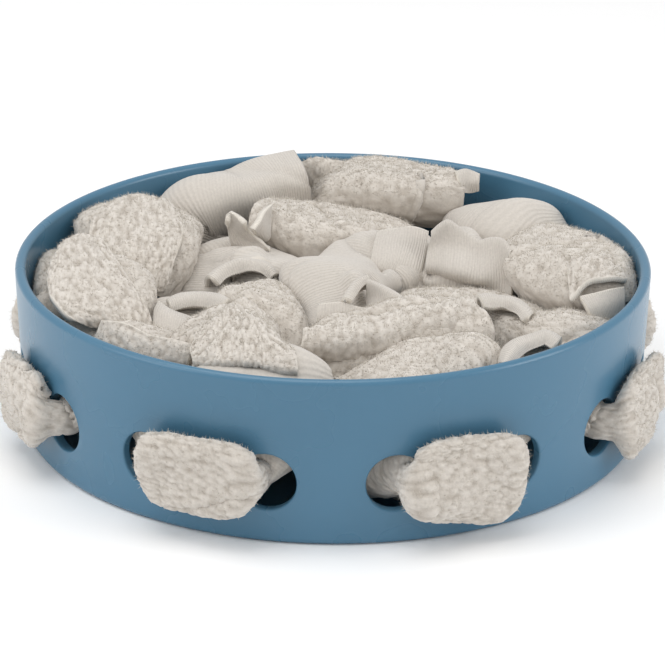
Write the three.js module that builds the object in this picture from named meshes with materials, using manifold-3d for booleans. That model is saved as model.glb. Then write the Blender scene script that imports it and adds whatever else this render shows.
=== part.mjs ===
// A snuffle bowl: a round plastic bowl with sixteen holes in its wall and eight fleece strips.
// Each strip comes out of one hole, crosses the wall outside and goes back in at the next hole.
// Its two ends lie curled up into loose rolls inside the bowl and fill it to just under the rim.
// Millimetres, +Z up. The origin is the middle of the underside, and the front faces -Y.
import * as THREE from "three";
import { mergeVertices } from "three/addons/utils/BufferGeometryUtils.js";
import Module from "manifold-3d";

const wasm = await Module();
wasm.setup();

// Driving sizes of the bowl
const RIM_RADIUS = 140;
const BOWL_HEIGHT = 75;
const BASE_RADIUS = 137.2;
const BASE_EDGE_RADIUS = 3;
const WALL_THICKNESS = 4.7;
const FLOOR_THICKNESS = 4.5;
const FLOOR_FILLET = 7;
const LATHE_STEPS = 64;
const HOLE_COUNT = 16;
const HOLE_RADIUS = 12.7;
const HOLE_HEIGHT = 28;
const HOLE_STEPS = 16;

// Driving sizes of the strips
const SHEET = 3.4;
const SHEET_IN_HOLE = 2.4;
const ACROSS_STEPS = 9;
const RING_SPACING = 9.5;
const CLEARANCE = 0.3;

// A sheet that wraps further than the first angle winds inwards, fully from the second angle on
const WINDING_FROM = 290;
const WINDING_TO = 350;
const WINDING_GAP = 0.9;

// A strip's bundle where it is drawn through a hole: its width, height and wrap, and how far in from
// the middle of the wall its sections lie
const BUNDLE_WIDE = 16;
const BUNDLE_HIGH = 19;
const BUNDLE_WRAP = 420;
const BUNDLE_INWARD = [-6.8, -3.4];

// How far the leaning wall's middle is out at the bridges, and a bridge's wrap at its middle
const WALL_LEAN = 0.5;
const BRIDGE_WRAP = 250;

// How the strips settle against each other: the gap they look for, the rounds, how many of the last
// rounds leave out the smoothing, the part of a push made in one round, the part of a ring's shift
// that it shares with its neighbours, and how much smaller a roll counts at its free end
const SETTLE_GAP = 1.2;
const SETTLE_ROUNDS = 160;
const LAST_ROUNDS = 60;
const PUSH_PART = 0.3;
const SHARED_PART = 0.3;
const END_SIZE = 0.7;
const OWN_RINGS = 5;
const TWO_BALLS_FROM = 1.5;
const INNER_RADIUS = RIM_RADIUS - WALL_THICKNESS - 2.2;
const FLEECE_TOP = BOWL_HEIGHT + 2;

const degrees = THREE.MathUtils.degToRad;
const HOLE_ANGLE = 360 / HOLE_COUNT;

// A point at an angle round the bowl, counted from the front towards +X
function around(angle, radius, height) {
  return new THREE.Vector3(radius * Math.sin(degrees(angle)), -radius * Math.cos(degrees(angle)), height);
}

// Drops the triangles that merging has left without an area, as at a lathe's poles
function welded(geometry) {
  const bare = new THREE.BufferGeometry();
  bare.setAttribute("position", geometry.getAttribute("position"));
  bare.setIndex(geometry.getIndex());
  const merged = mergeVertices(bare, 1e-3);
  const index = merged.getIndex().array;
  const kept = [];
  for (let i = 0; i < index.length; i += 3) {
    const [a, b, c] = [index[i], index[i + 1], index[i + 2]];
    if (a !== b && b !== c && c !== a) kept.push(a, b, c);
  }
  merged.setIndex(kept);
  return merged;
}

function toSolid(geometry) {
  const merged = welded(geometry);
  return new wasm.Manifold(new wasm.Mesh({
    numProp: 3,
    vertProperties: new Float32Array(merged.getAttribute("position").array),
    triVerts: new Uint32Array(merged.getIndex().array),
  }));
}

function toGeometry(solid) {
  const mesh = solid.getMesh();
  const geometry = new THREE.BufferGeometry();
  geometry.setAttribute("position", new THREE.BufferAttribute(mesh.vertProperties, 3));
  geometry.setIndex(new THREE.BufferAttribute(mesh.triVerts, 1));
  return geometry;
}

// The bowl's section: flat base, rounded lower edge, wall leaning out, round lip, inner fillet, floor
function bowlProfile() {
  const lip = WALL_THICKNESS / 2;
  const points = [new THREE.Vector2(0, 0)];
  const arc = (x, y, radius, from, to, steps) => {
    for (let i = 0; i <= steps; i += 1) {
      const angle = degrees(from + (to - from) * i / steps);
      points.push(new THREE.Vector2(x + radius * Math.cos(angle), y + radius * Math.sin(angle)));
    }
  };
  arc(BASE_RADIUS - BASE_EDGE_RADIUS, BASE_EDGE_RADIUS, BASE_EDGE_RADIUS, -90, 0, 2);
  arc(RIM_RADIUS - lip, BOWL_HEIGHT - lip, lip, 0, 180, 4);
  arc(
    BASE_RADIUS - WALL_THICKNESS - FLOOR_FILLET, FLOOR_THICKNESS + FLOOR_FILLET,
    FLOOR_FILLET, 0, -90, 3,
  );
  points.push(new THREE.Vector2(0, FLOOR_THICKNESS));
  return points;
}

// A lathe turns its profile round Y, so the bowl is stood up afterwards and then drilled
function makeBowl() {
  const lathe = new THREE.LatheGeometry(bowlProfile(), LATHE_STEPS);
  lathe.rotateX(Math.PI / 2);
  let solid = toSolid(lathe);
  for (let i = 0; i < HOLE_COUNT; i += 1) {
    const angle = (i + 0.5) * HOLE_ANGLE;
    const drill = new THREE.CylinderGeometry(HOLE_RADIUS, HOLE_RADIUS, 4 * WALL_THICKNESS, HOLE_STEPS);
    drill.rotateZ(Math.PI / HOLE_STEPS);
    drill.rotateZ(degrees(angle));
    const place = around(angle, BASE_RADIUS, HOLE_HEIGHT);
    drill.translate(place.x, place.y, place.z);
    solid = solid.subtract(toSolid(drill));
  }
  return toGeometry(solid);
}

// The strips' ends inside the bowl, each under the angle of its hole. They are rolls whose slit faces
// down. A row is a section of the roll: its middle x, y, z, its outer width and height, and how many
// degrees the sheet wraps round. Rows run from the hole to the free end.
const TAILS = {
  "-11": [
    [-24, -113, 44, 37, 25, 320],
    [-24, -100, 56, 54, 29, 290],
    [-16, -76, 30, 26, 24, 330],
    [-18, -50, 34, 26, 25, 330],
    [-20, -30, 50, 33, 27, 320],
    [-29, -10, 55, 37, 28, 310],
    [-36, 10, 53, 33, 25, 300],
  ],
  "-34": [
    [-68, -95, 42, 33, 26, 330],
    [-54, -78, 52, 42, 28, 310],
    [-40, -62, 57, 48, 30, 300],
    [-38, -44, 55, 35, 27, 310],
    [-39, -31, 52, 20, 18, 330],
  ],
  "-56": [
    [-98, -68, 42, 31, 25, 330],
    [-86, -62, 54, 40, 27, 310],
    [-70, -56, 54, 40, 27, 310],
    [-60, -38, 46, 33, 26, 310],
    [-65, -14, 48, 37, 26, 310],
    [-60, 8, 46, 35, 23, 300],
    [-60, 15, 44, 24, 14, 300],
  ],
  "-79": [
    [-114, -34, 40, 31, 25, 330],
    [-99, -34, 51, 40, 28, 310],
    [-95, -12, 56, 46, 30, 300],
    [-102, 14, 57, 46, 30, 300],
    [-109, 36, 55, 40, 28, 310],
    [-110, 46, 52, 24, 22, 320],
  ],
  "-101": [
    [-113, 24, 20, 24, 22, 330],
    [-86, 30, 19, 27, 24, 330],
    [-66, 40, 36, 33, 26, 320],
    [-58, 55, 51, 35, 28, 310],
    [-44, 50, 53, 40, 27, 300],
    [-37, 34, 51, 40, 22, 290],
    [-33, 27, 48, 31, 13, 290],
  ],
  "-124": [
    [-104, 70, 42, 33, 26, 320],
    [-97, 74, 55, 51, 29, 300],
    [-88, 58, 58, 55, 30, 290],
    [-80, 34, 55, 42, 28, 300],
    [-77, 14, 48, 24, 20, 320],
  ],
  "-146": [
    [-74, 98, 42, 31, 26, 330],
    [-64, 102, 58, 37, 29, 310],
    [-44, 106, 60, 37, 29, 310],
    [-26, 112, 63, 38, 29, 320],
    [-9, 115, 64, 38, 29, 330],
  ],
  "-169": [
    [-21, 117, 21, 25, 22, 340],
    [-5, 115, 32, 31, 25, 330],
    [9, 114, 55, 40, 29, 320],
    [32, 113, 63, 42, 30, 320],
    [50, 113, 61, 40, 30, 330],
    [64, 112, 60, 37, 29, 350],
  ],
  "169": [
    [29, 114, 21, 24, 22, 340],
    [32, 94, 25, 31, 24, 330],
    [22, 79, 44, 35, 27, 320],
    [4, 76, 56, 44, 29, 320],
    [-14, 80, 57, 44, 30, 320],
    [-32, 84, 57, 40, 28, 330],
  ],
  "146": [
    [74, 98, 22, 24, 22, 340],
    [80, 78, 24, 26, 24, 330],
    [84, 56, 38, 33, 27, 320],
    [68, 42, 54, 42, 30, 310],
    [44, 46, 56, 42, 29, 300],
    [22, 48, 55, 42, 29, 300],
    [5, 32, 55, 46, 29, 290],
    [0, 8, 55, 48, 28, 290],
    [2, -10, 52, 40, 20, 290],
    [4, -18, 49, 31, 13, 290],
  ],
  "124": [
    [103, 77, 42, 31, 25, 330],
    [92, 82, 53, 42, 28, 310],
    [83, 94, 54, 38, 28, 310],
    [75, 106, 51, 28, 23, 310],
  ],
  "101": [
    [116, 29, 39, 31, 25, 330],
    [110, 50, 52, 42, 30, 310],
    [99, 36, 56, 48, 30, 290],
    [103, 12, 56, 51, 30, 290],
    [111, -6, 53, 42, 28, 310],
    [116, -16, 47, 30, 20, 320],
  ],
  "79": [
    [118, -24, 38, 31, 25, 330],
    [106, -28, 51, 40, 28, 310],
    [90, -30, 55, 37, 28, 320],
    [80, -12, 50, 33, 26, 320],
    [60, 6, 49, 37, 26, 310],
    [42, 14, 49, 35, 25, 310],
    [26, 20, 46, 26, 20, 310],
  ],
  "56": [
    [100, -68, 42, 31, 25, 340],
    [90, -60, 54, 35, 28, 360],
    [78, -56, 56, 35, 29, 380],
  ],
  "34": [
    [70, -98, 42, 31, 25, 330],
    [60, -80, 54, 40, 28, 310],
    [40, -78, 55, 40, 28, 310],
    [18, -94, 52, 36, 26, 310],
    [6, -104, 48, 30, 20, 310],
  ],
  "11": [
    [22, -112, 22, 24, 22, 340],
    [6, -90, 21, 27, 24, 330],
    [-4, -70, 36, 33, 26, 320],
    [4, -53, 53, 37, 29, 320],
    [28, -47, 55, 40, 30, 320],
    [50, -38, 56, 41, 30, 330],
    [70, -29, 56, 40, 29, 380],
  ],
};

// The bridge outside turns round the hole's edge at each side and lies along the wall between.
// A row of its turn: how far it is pushed out, how far it has turned round the hole's edge,
// its share of the bridge's depth and height, its wrap and its thickness
const BRIDGE_TURN = [
  [0.3, 25, 1.36, 0.56, 330, 2.8],
  [0.4, 55, 1.25, 0.82, 280, SHEET],
  [0.2, 85, 1.05, 0.94, 250, SHEET],
];

// Which way a section's slit faces: down in the rolls, to the wall in the bridges outside
const SLIT_DOWN = -180;
const SLIT_TO_WALL = -90;

function bridgeRows({ middle, lift, high, deep }) {
  const edge = HOLE_ANGLE / 2 - THREE.MathUtils.radToDeg(HOLE_RADIUS / BASE_RADIUS);
  const wall = (BASE_RADIUS + RIM_RADIUS) / 2 + WALL_LEAN;
  const row = (swing, inward, wide, tall, wrap, thick) => {
    const reach = wide / 2 + 2 * CLEARANCE;
    return {
      angle: edge + THREE.MathUtils.radToDeg(reach * Math.cos(degrees(swing)) / wall),
      radius: wall + reach * Math.sin(degrees(swing)) + inward,
      z: HOLE_HEIGHT + lift * swing / 90,
      wide, high: tall, wrap, thick,
    };
  };
  const bundle = BUNDLE_INWARD.map((inward) => (
    row(0, inward, BUNDLE_WIDE, BUNDLE_HIGH, BUNDLE_WRAP, SHEET_IN_HOLE)
  ));
  const turn = BRIDGE_TURN.map(([outward, swing, depths, heights, wrap, thick]) => (
    row(swing, outward, deep * depths, high * heights, wrap, thick)
  ));
  const half = [...bundle, ...turn];
  const centre = { ...row(90, 0, deep, high, BRIDGE_WRAP, SHEET), angle: 0 };
  const mirrored = half.map((r) => ({ ...r, angle: -r.angle }));
  return [...mirrored, centre, ...half.reverse()].map((r) => {
    const { x, y } = around(middle + r.angle, r.radius, 0);
    return { ...r, x, y, slit: SLIT_TO_WALL, pinned: true };
  });
}

function tailRows(name) {
  return TAILS[name].map(([x, y, z, wide, high, wrap]) => (
    { x, y, z, wide, high, wrap, slit: SLIT_DOWN, thick: SHEET, pinned: false }
  ));
}

// Catmull-Rom through four values
function blend(p0, p1, p2, p3, t) {
  const a = 2 * p1 + (p2 - p0) * t;
  const b = (2 * p0 - 5 * p1 + 4 * p2 - p3) * t * t;
  const c = (3 * p1 - p0 - 3 * p2 + p3) * t * t * t;
  return (a + b + c) / 2;
}

const NUMBERS = ["x", "y", "z", "wide", "high", "slit", "wrap", "thick"];

// Sections along the strip, about one ring spacing apart
function sampled(rows) {
  const rings = [];
  const last = rows.length - 1;
  for (let i = 0; i < last; i += 1) {
    const [r0, r1, r2, r3] = [rows[Math.max(i - 1, 0)], rows[i], rows[i + 1], rows[Math.min(i + 2, last)]];
    const gap = Math.hypot(r2.x - r1.x, r2.y - r1.y, r2.z - r1.z);
    const count = Math.max(1, Math.round(gap / RING_SPACING));
    for (let k = 0; k < count; k += 1) {
      const ring = { pinned: r1.pinned && (k === 0 || r2.pinned) };
      for (const n of NUMBERS) ring[n] = blend(r0[n], r1[n], r2[n], r3[n], k / count);
      rings.push(ring);
    }
  }
  rings.push({ ...rows[last] });
  return rings;
}

// Direction of the route at each ring
function tangents(rings) {
  return rings.map((ring, i) => {
    const a = rings[Math.max(i - 1, 0)];
    const b = rings[Math.min(i + 1, rings.length - 1)];
    return new THREE.Vector3(b.x - a.x, b.y - a.y, b.z - a.z).normalize();
  });
}

// The way to the right of a ring, level, when looking along the route
function sideways(direction) {
  return new THREE.Vector3().crossVectors(direction, new THREE.Vector3(0, 0, 1)).normalize();
}

// Balls that stand for a section while the strips settle: two side by side where it is wide
function ballsOf(rings) {
  const directions = tangents(rings);
  return rings.flatMap((ring, i) => {
    const side = sideways(directions[i]);
    const atEnd = i === 0 || i === rings.length - 1;
    const radius = Math.min(ring.wide, ring.high) / 2 * (atEnd ? END_SIZE : 1);
    const offset = Math.max(ring.wide - ring.high, 0) / 2;
    const shifts = offset > TWO_BALLS_FROM ? [-offset, offset] : [0];
    return shifts.map((shift) => ({ ring, index: i, side, shift, radius }));
  });
}

// The strips are pushed apart where they would meet, and kept inside the wall, the floor and the rim.
// All the pushes of a round are found before any ring moves.
function settle(strips) {
  strips.flat().forEach((r) => { r.laid = { x: r.x, y: r.y, z: r.z }; });
  const balls = strips.flatMap((rings, strip) => ballsOf(rings).map((ball) => ({ ...ball, strip })));
  for (let round = 0; round < SETTLE_ROUNDS; round += 1) {
    for (const ball of balls) {
      const { x, y, z } = ball.ring;
      ball.place = new THREE.Vector3(x, y, z).addScaledVector(ball.side, ball.shift);
      ball.ring.push = new THREE.Vector3();
    }
    for (let i = 0; i < balls.length; i += 1) {
      for (let j = i + 1; j < balls.length; j += 1) pushApart(balls[i], balls[j]);
    }
    balls.forEach(pushInside);
    for (const ring of strips.flat()) {
      if (ring.pinned) continue;
      ring.x += ring.push.x;
      ring.y += ring.push.y;
      ring.z += ring.push.z;
    }
    if (round < SETTLE_ROUNDS - LAST_ROUNDS) strips.forEach(smooth);
  }
}

// Two balls that are too near push each other away, or the free one alone if the other can't move
function pushApart(a, b) {
  if (a.strip === b.strip && Math.abs(a.index - b.index) < OWN_RINGS) return;
  if (a.ring.pinned && b.ring.pinned) return;
  const need = a.radius + b.radius + SETTLE_GAP;
  const apart = a.place.clone().sub(b.place);
  const distance = apart.length();
  if (distance >= need) return;
  const part = PUSH_PART * (a.ring.pinned || b.ring.pinned ? 2 : 1);
  apart.multiplyScalar(part * (need - distance) / distance);
  a.ring.push.add(apart);
  b.ring.push.sub(apart);
}

function pushInside({ ring, place, radius }) {
  const reach = Math.hypot(place.x, place.y) + radius + CLEARANCE - INNER_RADIUS;
  if (reach > 0) ring.push.add(new THREE.Vector3(-place.x, -place.y, 0).setLength(reach / 2));
  const sunk = FLOOR_THICKNESS + radius + 2 * CLEARANCE - place.z;
  if (sunk > 0) ring.push.z += sunk / 2;
  const proud = place.z + radius - FLEECE_TOP;
  if (proud > 0) ring.push.z -= proud / 2;
}

// A ring shares its shift from its hand-laid place with its neighbours, so that the route stays smooth
function smooth(rings) {
  for (const axis of ["x", "y", "z"]) {
    const shifts = rings.map((r) => r[axis] - r.laid[axis]);
    for (let i = 1; i < rings.length - 1; i += 1) {
      if (rings[i].pinned) continue;
      rings[i][axis] += SHARED_PART * ((shifts[i - 1] + shifts[i + 1]) / 2 - shifts[i]);
    }
  }
}

// Middle line of a section: an open oval, wound inwards as a spiral where it wraps past a full turn
function sectionLine(ring) {
  const { wide, high, thick, wrap, slit } = ring;
  const winding = THREE.MathUtils.smoothstep(wrap, WINDING_FROM, WINDING_TO) * (thick + WINDING_GAP);
  const points = [];
  for (let k = 0; k <= ACROSS_STEPS; k += 1) {
    const turned = wrap * k / ACROSS_STEPS;
    const angle = degrees(slit + 180 + turned - wrap / 2);
    const inward = winding * turned / 360;
    points.push(new THREE.Vector2(
      ((wide - thick) / 2 - inward) * Math.sin(angle),
      ((high - thick) / 2 - inward) * Math.cos(angle),
    ));
  }
  return points;
}

// The sheet's two sides in the section, half its thickness to each side of the middle line
function sectionOutline(ring) {
  const line = sectionLine(ring);
  const offset = (sign) => line.map((point, k) => {
    const along = line[Math.min(k + 1, line.length - 1)].clone().sub(line[Math.max(k - 1, 0)]).normalize();
    const half = sign * ring.thick / 2;
    return new THREE.Vector2(point.x - half * along.y, point.y + half * along.x);
  });
  return [...offset(1), ...offset(-1).reverse()];
}

// One closed solid: the outlines joined ring to ring, and a row of faces across each end
function stripGeometry(rings) {
  const directions = tangents(rings);
  const loop = 2 * (ACROSS_STEPS + 1);
  const positions = [];
  rings.forEach((ring, i) => {
    const side = sideways(directions[i]);
    const up = new THREE.Vector3().crossVectors(side, directions[i]);
    for (const point of sectionOutline(ring)) {
      const corner = new THREE.Vector3(ring.x, ring.y, ring.z)
        .addScaledVector(side, point.x)
        .addScaledVector(up, point.y);
      positions.push(corner.x, corner.y, corner.z);
    }
  });
  const faces = [];
  const quad = (a, b, c, d) => faces.push(a, b, c, a, c, d);
  for (let i = 0; i < rings.length - 1; i += 1) {
    for (let k = 0; k < loop; k += 1) {
      const next = (k + 1) % loop;
      quad(i * loop + k, i * loop + next, (i + 1) * loop + next, (i + 1) * loop + k);
    }
  }
  const end = (rings.length - 1) * loop;
  for (let k = 0; k < ACROSS_STEPS; k += 1) {
    quad(k + 1, k, loop - 1 - k, loop - 2 - k);
    quad(end + k, end + k + 1, end + loop - 2 - k, end + loop - 1 - k);
  }
  const geometry = new THREE.BufferGeometry();
  geometry.setAttribute("position", new THREE.Float32BufferAttribute(positions, 3));
  geometry.setIndex(faces);
  return geometry;
}

// Strips in order round the bowl from the front left: the holes of its two ends, and its bridge's
// middle, how far the bridge lies above the holes, and its height and depth
const STRIPS = [
  ["-34", "-11", -22.5, 2.4, 35, 12],
  ["-79", "-56", -67.5, 1.5, 38, 10],
  ["-124", "-101", -112.5, 1, 37, 11],
  ["-169", "-146", -157.5, 2, 36, 12],
  ["146", "169", 157.5, 1.5, 38, 12],
  ["101", "124", 112.5, 1, 36, 11],
  ["56", "79", 67.5, 1, 39, 10],
  ["11", "34", 22.5, 1.2, 39, 12],
];

const rings = STRIPS.map(([first, second, middle, lift, high, deep]) => sampled([
  ...tailRows(first).reverse(), ...bridgeRows({ middle, lift, high, deep }), ...tailRows(second),
]));
settle(rings);

const plastic = new THREE.MeshStandardMaterial({ color: 0x517e96, roughness: 0.45, metalness: 0 });
const fleece = new THREE.MeshStandardMaterial({ color: 0xccc8be, roughness: 0.95, metalness: 0 });

const bowl = new THREE.Mesh(makeBowl(), plastic);
bowl.name = "bowl";

const snuffleBowl = new THREE.Group();
snuffleBowl.add(bowl);
rings.forEach((sections, i) => {
  const strip = new THREE.Mesh(stripGeometry(sections), fleece);
  strip.name = `strip_${i + 1}`;
  snuffleBowl.add(strip);
});

export default snuffleBowl;
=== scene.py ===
"""Dresses the snuffle bowl: a moulded blue bowl and eight strips of teddy fleece rolled up in it.

Lengths in the tables are millimetres, in the part's own frame: +Z up, front towards -Y, origin in
the middle of the underside. Meshes are made in metres.
"""
import math

import bpy
import numpy as np
from bpy.props import FloatProperty, FloatVectorProperty, IntProperty, PointerProperty
from mathutils import Matrix, Vector


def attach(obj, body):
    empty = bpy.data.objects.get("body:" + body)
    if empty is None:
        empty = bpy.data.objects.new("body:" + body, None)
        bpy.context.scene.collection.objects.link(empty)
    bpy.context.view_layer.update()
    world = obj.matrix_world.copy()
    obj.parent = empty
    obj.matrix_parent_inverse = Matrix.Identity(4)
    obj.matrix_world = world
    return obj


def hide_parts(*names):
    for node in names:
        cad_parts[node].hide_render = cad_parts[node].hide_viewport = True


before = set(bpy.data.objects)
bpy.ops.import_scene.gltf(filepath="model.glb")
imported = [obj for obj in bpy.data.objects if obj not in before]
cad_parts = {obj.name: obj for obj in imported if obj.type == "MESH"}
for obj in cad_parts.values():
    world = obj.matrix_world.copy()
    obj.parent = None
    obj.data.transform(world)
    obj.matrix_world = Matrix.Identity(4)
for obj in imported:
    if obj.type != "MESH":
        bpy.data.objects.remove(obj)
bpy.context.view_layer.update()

bl_info = {
    "name": "Snuffle Bowl",
    "version": (1, 0, 0),
    "blender": (4, 5, 0),
    "location": "3D View > Sidebar > Snuffle Bowl",
    "description": "Builds a plastic bowl with fleece strips rolled up in it",
    "category": "Object",
}

MM = 0.001

# Bowl sizes that a user would hardly change
RIM_RADIUS, WALL_THICKNESS, BOWL_HEIGHT = 140.0, 4.7, 75.0
BASE_RADIUS = 137.2
BASE_EDGE_RADIUS = 3.0
BASE_RINGS = (0, 60, 120)
FLOOR_THICKNESS = 4.5
FLOOR_FILLET = 7.0
FLOOR_RINGS = (90, 40, 0)
HOLE_COUNT = 16
HOLE_ANGLE = 360 / HOLE_COUNT
HOLE_RADIUS = 12.7
HOLE_HEIGHT = 28.0
HOLE_EDGE_RADIUS = 0.9
PATCH_LOW = 12.0
PATCH_HIGH = 44.0

# How the strips are laid, as in the solids
FLAT_WIDTH = 94.0
SHEET = 3.4
SHEET_IN_HOLE = 2.4
RING_SPACING = 9.5
CLEARANCE = 0.3
WINDING_FROM, WINDING_TO, WINDING_GAP = 290, 350, 0.9
BUNDLE_WIDE, BUNDLE_HIGH, BUNDLE_WRAP = 16, 19, 420
BUNDLE_INWARD = (-6.8, -3.4)
WALL_LEAN, BRIDGE_WRAP = 0.5, 250
SETTLE_GAP, SETTLE_ROUNDS, LAST_ROUNDS = 1.2, 160, 60
PUSH_PART, SHARED_PART, END_SIZE = 0.3, 0.3, 0.7
OWN_RINGS, TWO_BALLS_FROM = 5, 1.5
SQUEEZED_SIZE = 0.72
WALL_SLOPE_ROOM = 2.2
INNER_RADIUS = RIM_RADIUS - WALL_THICKNESS - WALL_SLOPE_ROOM
FLEECE_TOP = BOWL_HEIGHT + 2
SLIT_DOWN, SLIT_TO_WALL = -180, -90

# A strip is tight in a hole and loose from these thicknesses on, and lies in the bowl from these
# distances to the wall on. Rolls sway less near the wall, and rings near the holes may reach into it.
LOOSE_FROM, LOOSE_FULL = 2.6, 3.3
IN_BOWL_FROM, IN_BOWL_FULL = 4, 14
SWAY_FROM, SWAY_FULL = 3, 22
NEAR_HOLE = 3

# How a roll fills the room beside it: one place in so many rows, places across, the room left, the
# most that it is squeezed, and how far along the roll its own sections don't count as others
FILL_ROWS, FILL_COLUMNS, FILL_ROOM, MOST_SQUEEZE, OWN_RUN = 5, 25, 0.5, 6, 50
FAR = 99.0

# The cloth's waves, shortest and longest, and how many are summed
HILL_WAVES, HILL_COUNT = (22, 60), 7
CREASE_WAVES, CREASE_COUNT = (50, 110), 5
BREAK_WAVES, BREAK_COUNT = (60, 120), 4
FOLD_WAVES, FOLD_COUNT = (14, 30), 5
SWAY_WAVES, SWAY_COUNT = (38, 75), 9
CREASE_HALF_WIDTH = 2.2
FOLD_RIPPLE = 0.4
EDGE_STEP, EDGE_BLUR = 1.2, 0.9

# Shares: how far a roll's end drops, how square a roll is, how far a curl reaches in its cell, how
# uneven curls are in height, and the size and weight of the small curls between
END_DROP, SQUARENESS = 0.45, 0.22
CURL_REACH, CURL_UNEVEN = 0.85, 0.35
SMALL_CURL_SIZE, SMALL_CURL_SHARE = 0.55, 0.25

# Laid folds: their thickness, how far from a cut edge the painted highlight is full and ends and the
# pile is calm, and how the first line goes on over and behind and the last one under
FOLD_SHEET = 2.6
TRIM_FULL, TRIM_END, CALM_END = 0.4, 1.3, 3
OVER_BEHIND = (0, 5, -6)
TUCKED_UNDER = (0, 6, -3)

# Loose fibres: shortest and longest, width and lean, the heights from which there are some and all,
# and how far past the rim's radius cloth counts as outside
FIBRE_LENGTH = (1.0, 2.4)
FIBRE_WIDTH = 0.2
FIBRE_LEAN = 0.7
FIBRES_FROM, FIBRES_FULL, FIBRES_OUTSIDE = 38, 60, 2

# Seeds of the random draws. The strip's or the fold's number is added.
SWAY_SEED, CREASE_SEED, BREAK_SEED, HILL_SEED = 5, 20, 30, 40
CURL_SEED, SMALL_CURL_SEED, FOLD_SEED, FIBRE_SEED = 70, 90, 200, 300

# Distances in the materials: the plastic's grain, the cloth's speckle and the knit's wales
GRAIN_SPACING = 0.9
SPECKLE_SPACING = 1.1
WALE_SPACING = 1.2

# The photograph's frame in its own pixels: focal length, half its side, the row of the rim's middle,
# and how far the camera is rolled
FOCAL, HALF_FRAME, RIM_ROW = 3506.8, 332.5, 257.22
ROLL = math.radians(0.456)

# Soft boxes, which aim at this height over the bowl's middle: name, place, side in metres, watts
LIGHTS_AIM = 40.0
SOFT_BOXES = (
    ("soft_box_above", (-0.3, -0.1, 1.5), 1.2, 10.0),
    ("soft_box_left", (-1.3, -0.5, 0.9), 0.9, 5.0),
    ("soft_box_right", (1.4, -0.4, 0.7), 0.8, 7.0),
)

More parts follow.
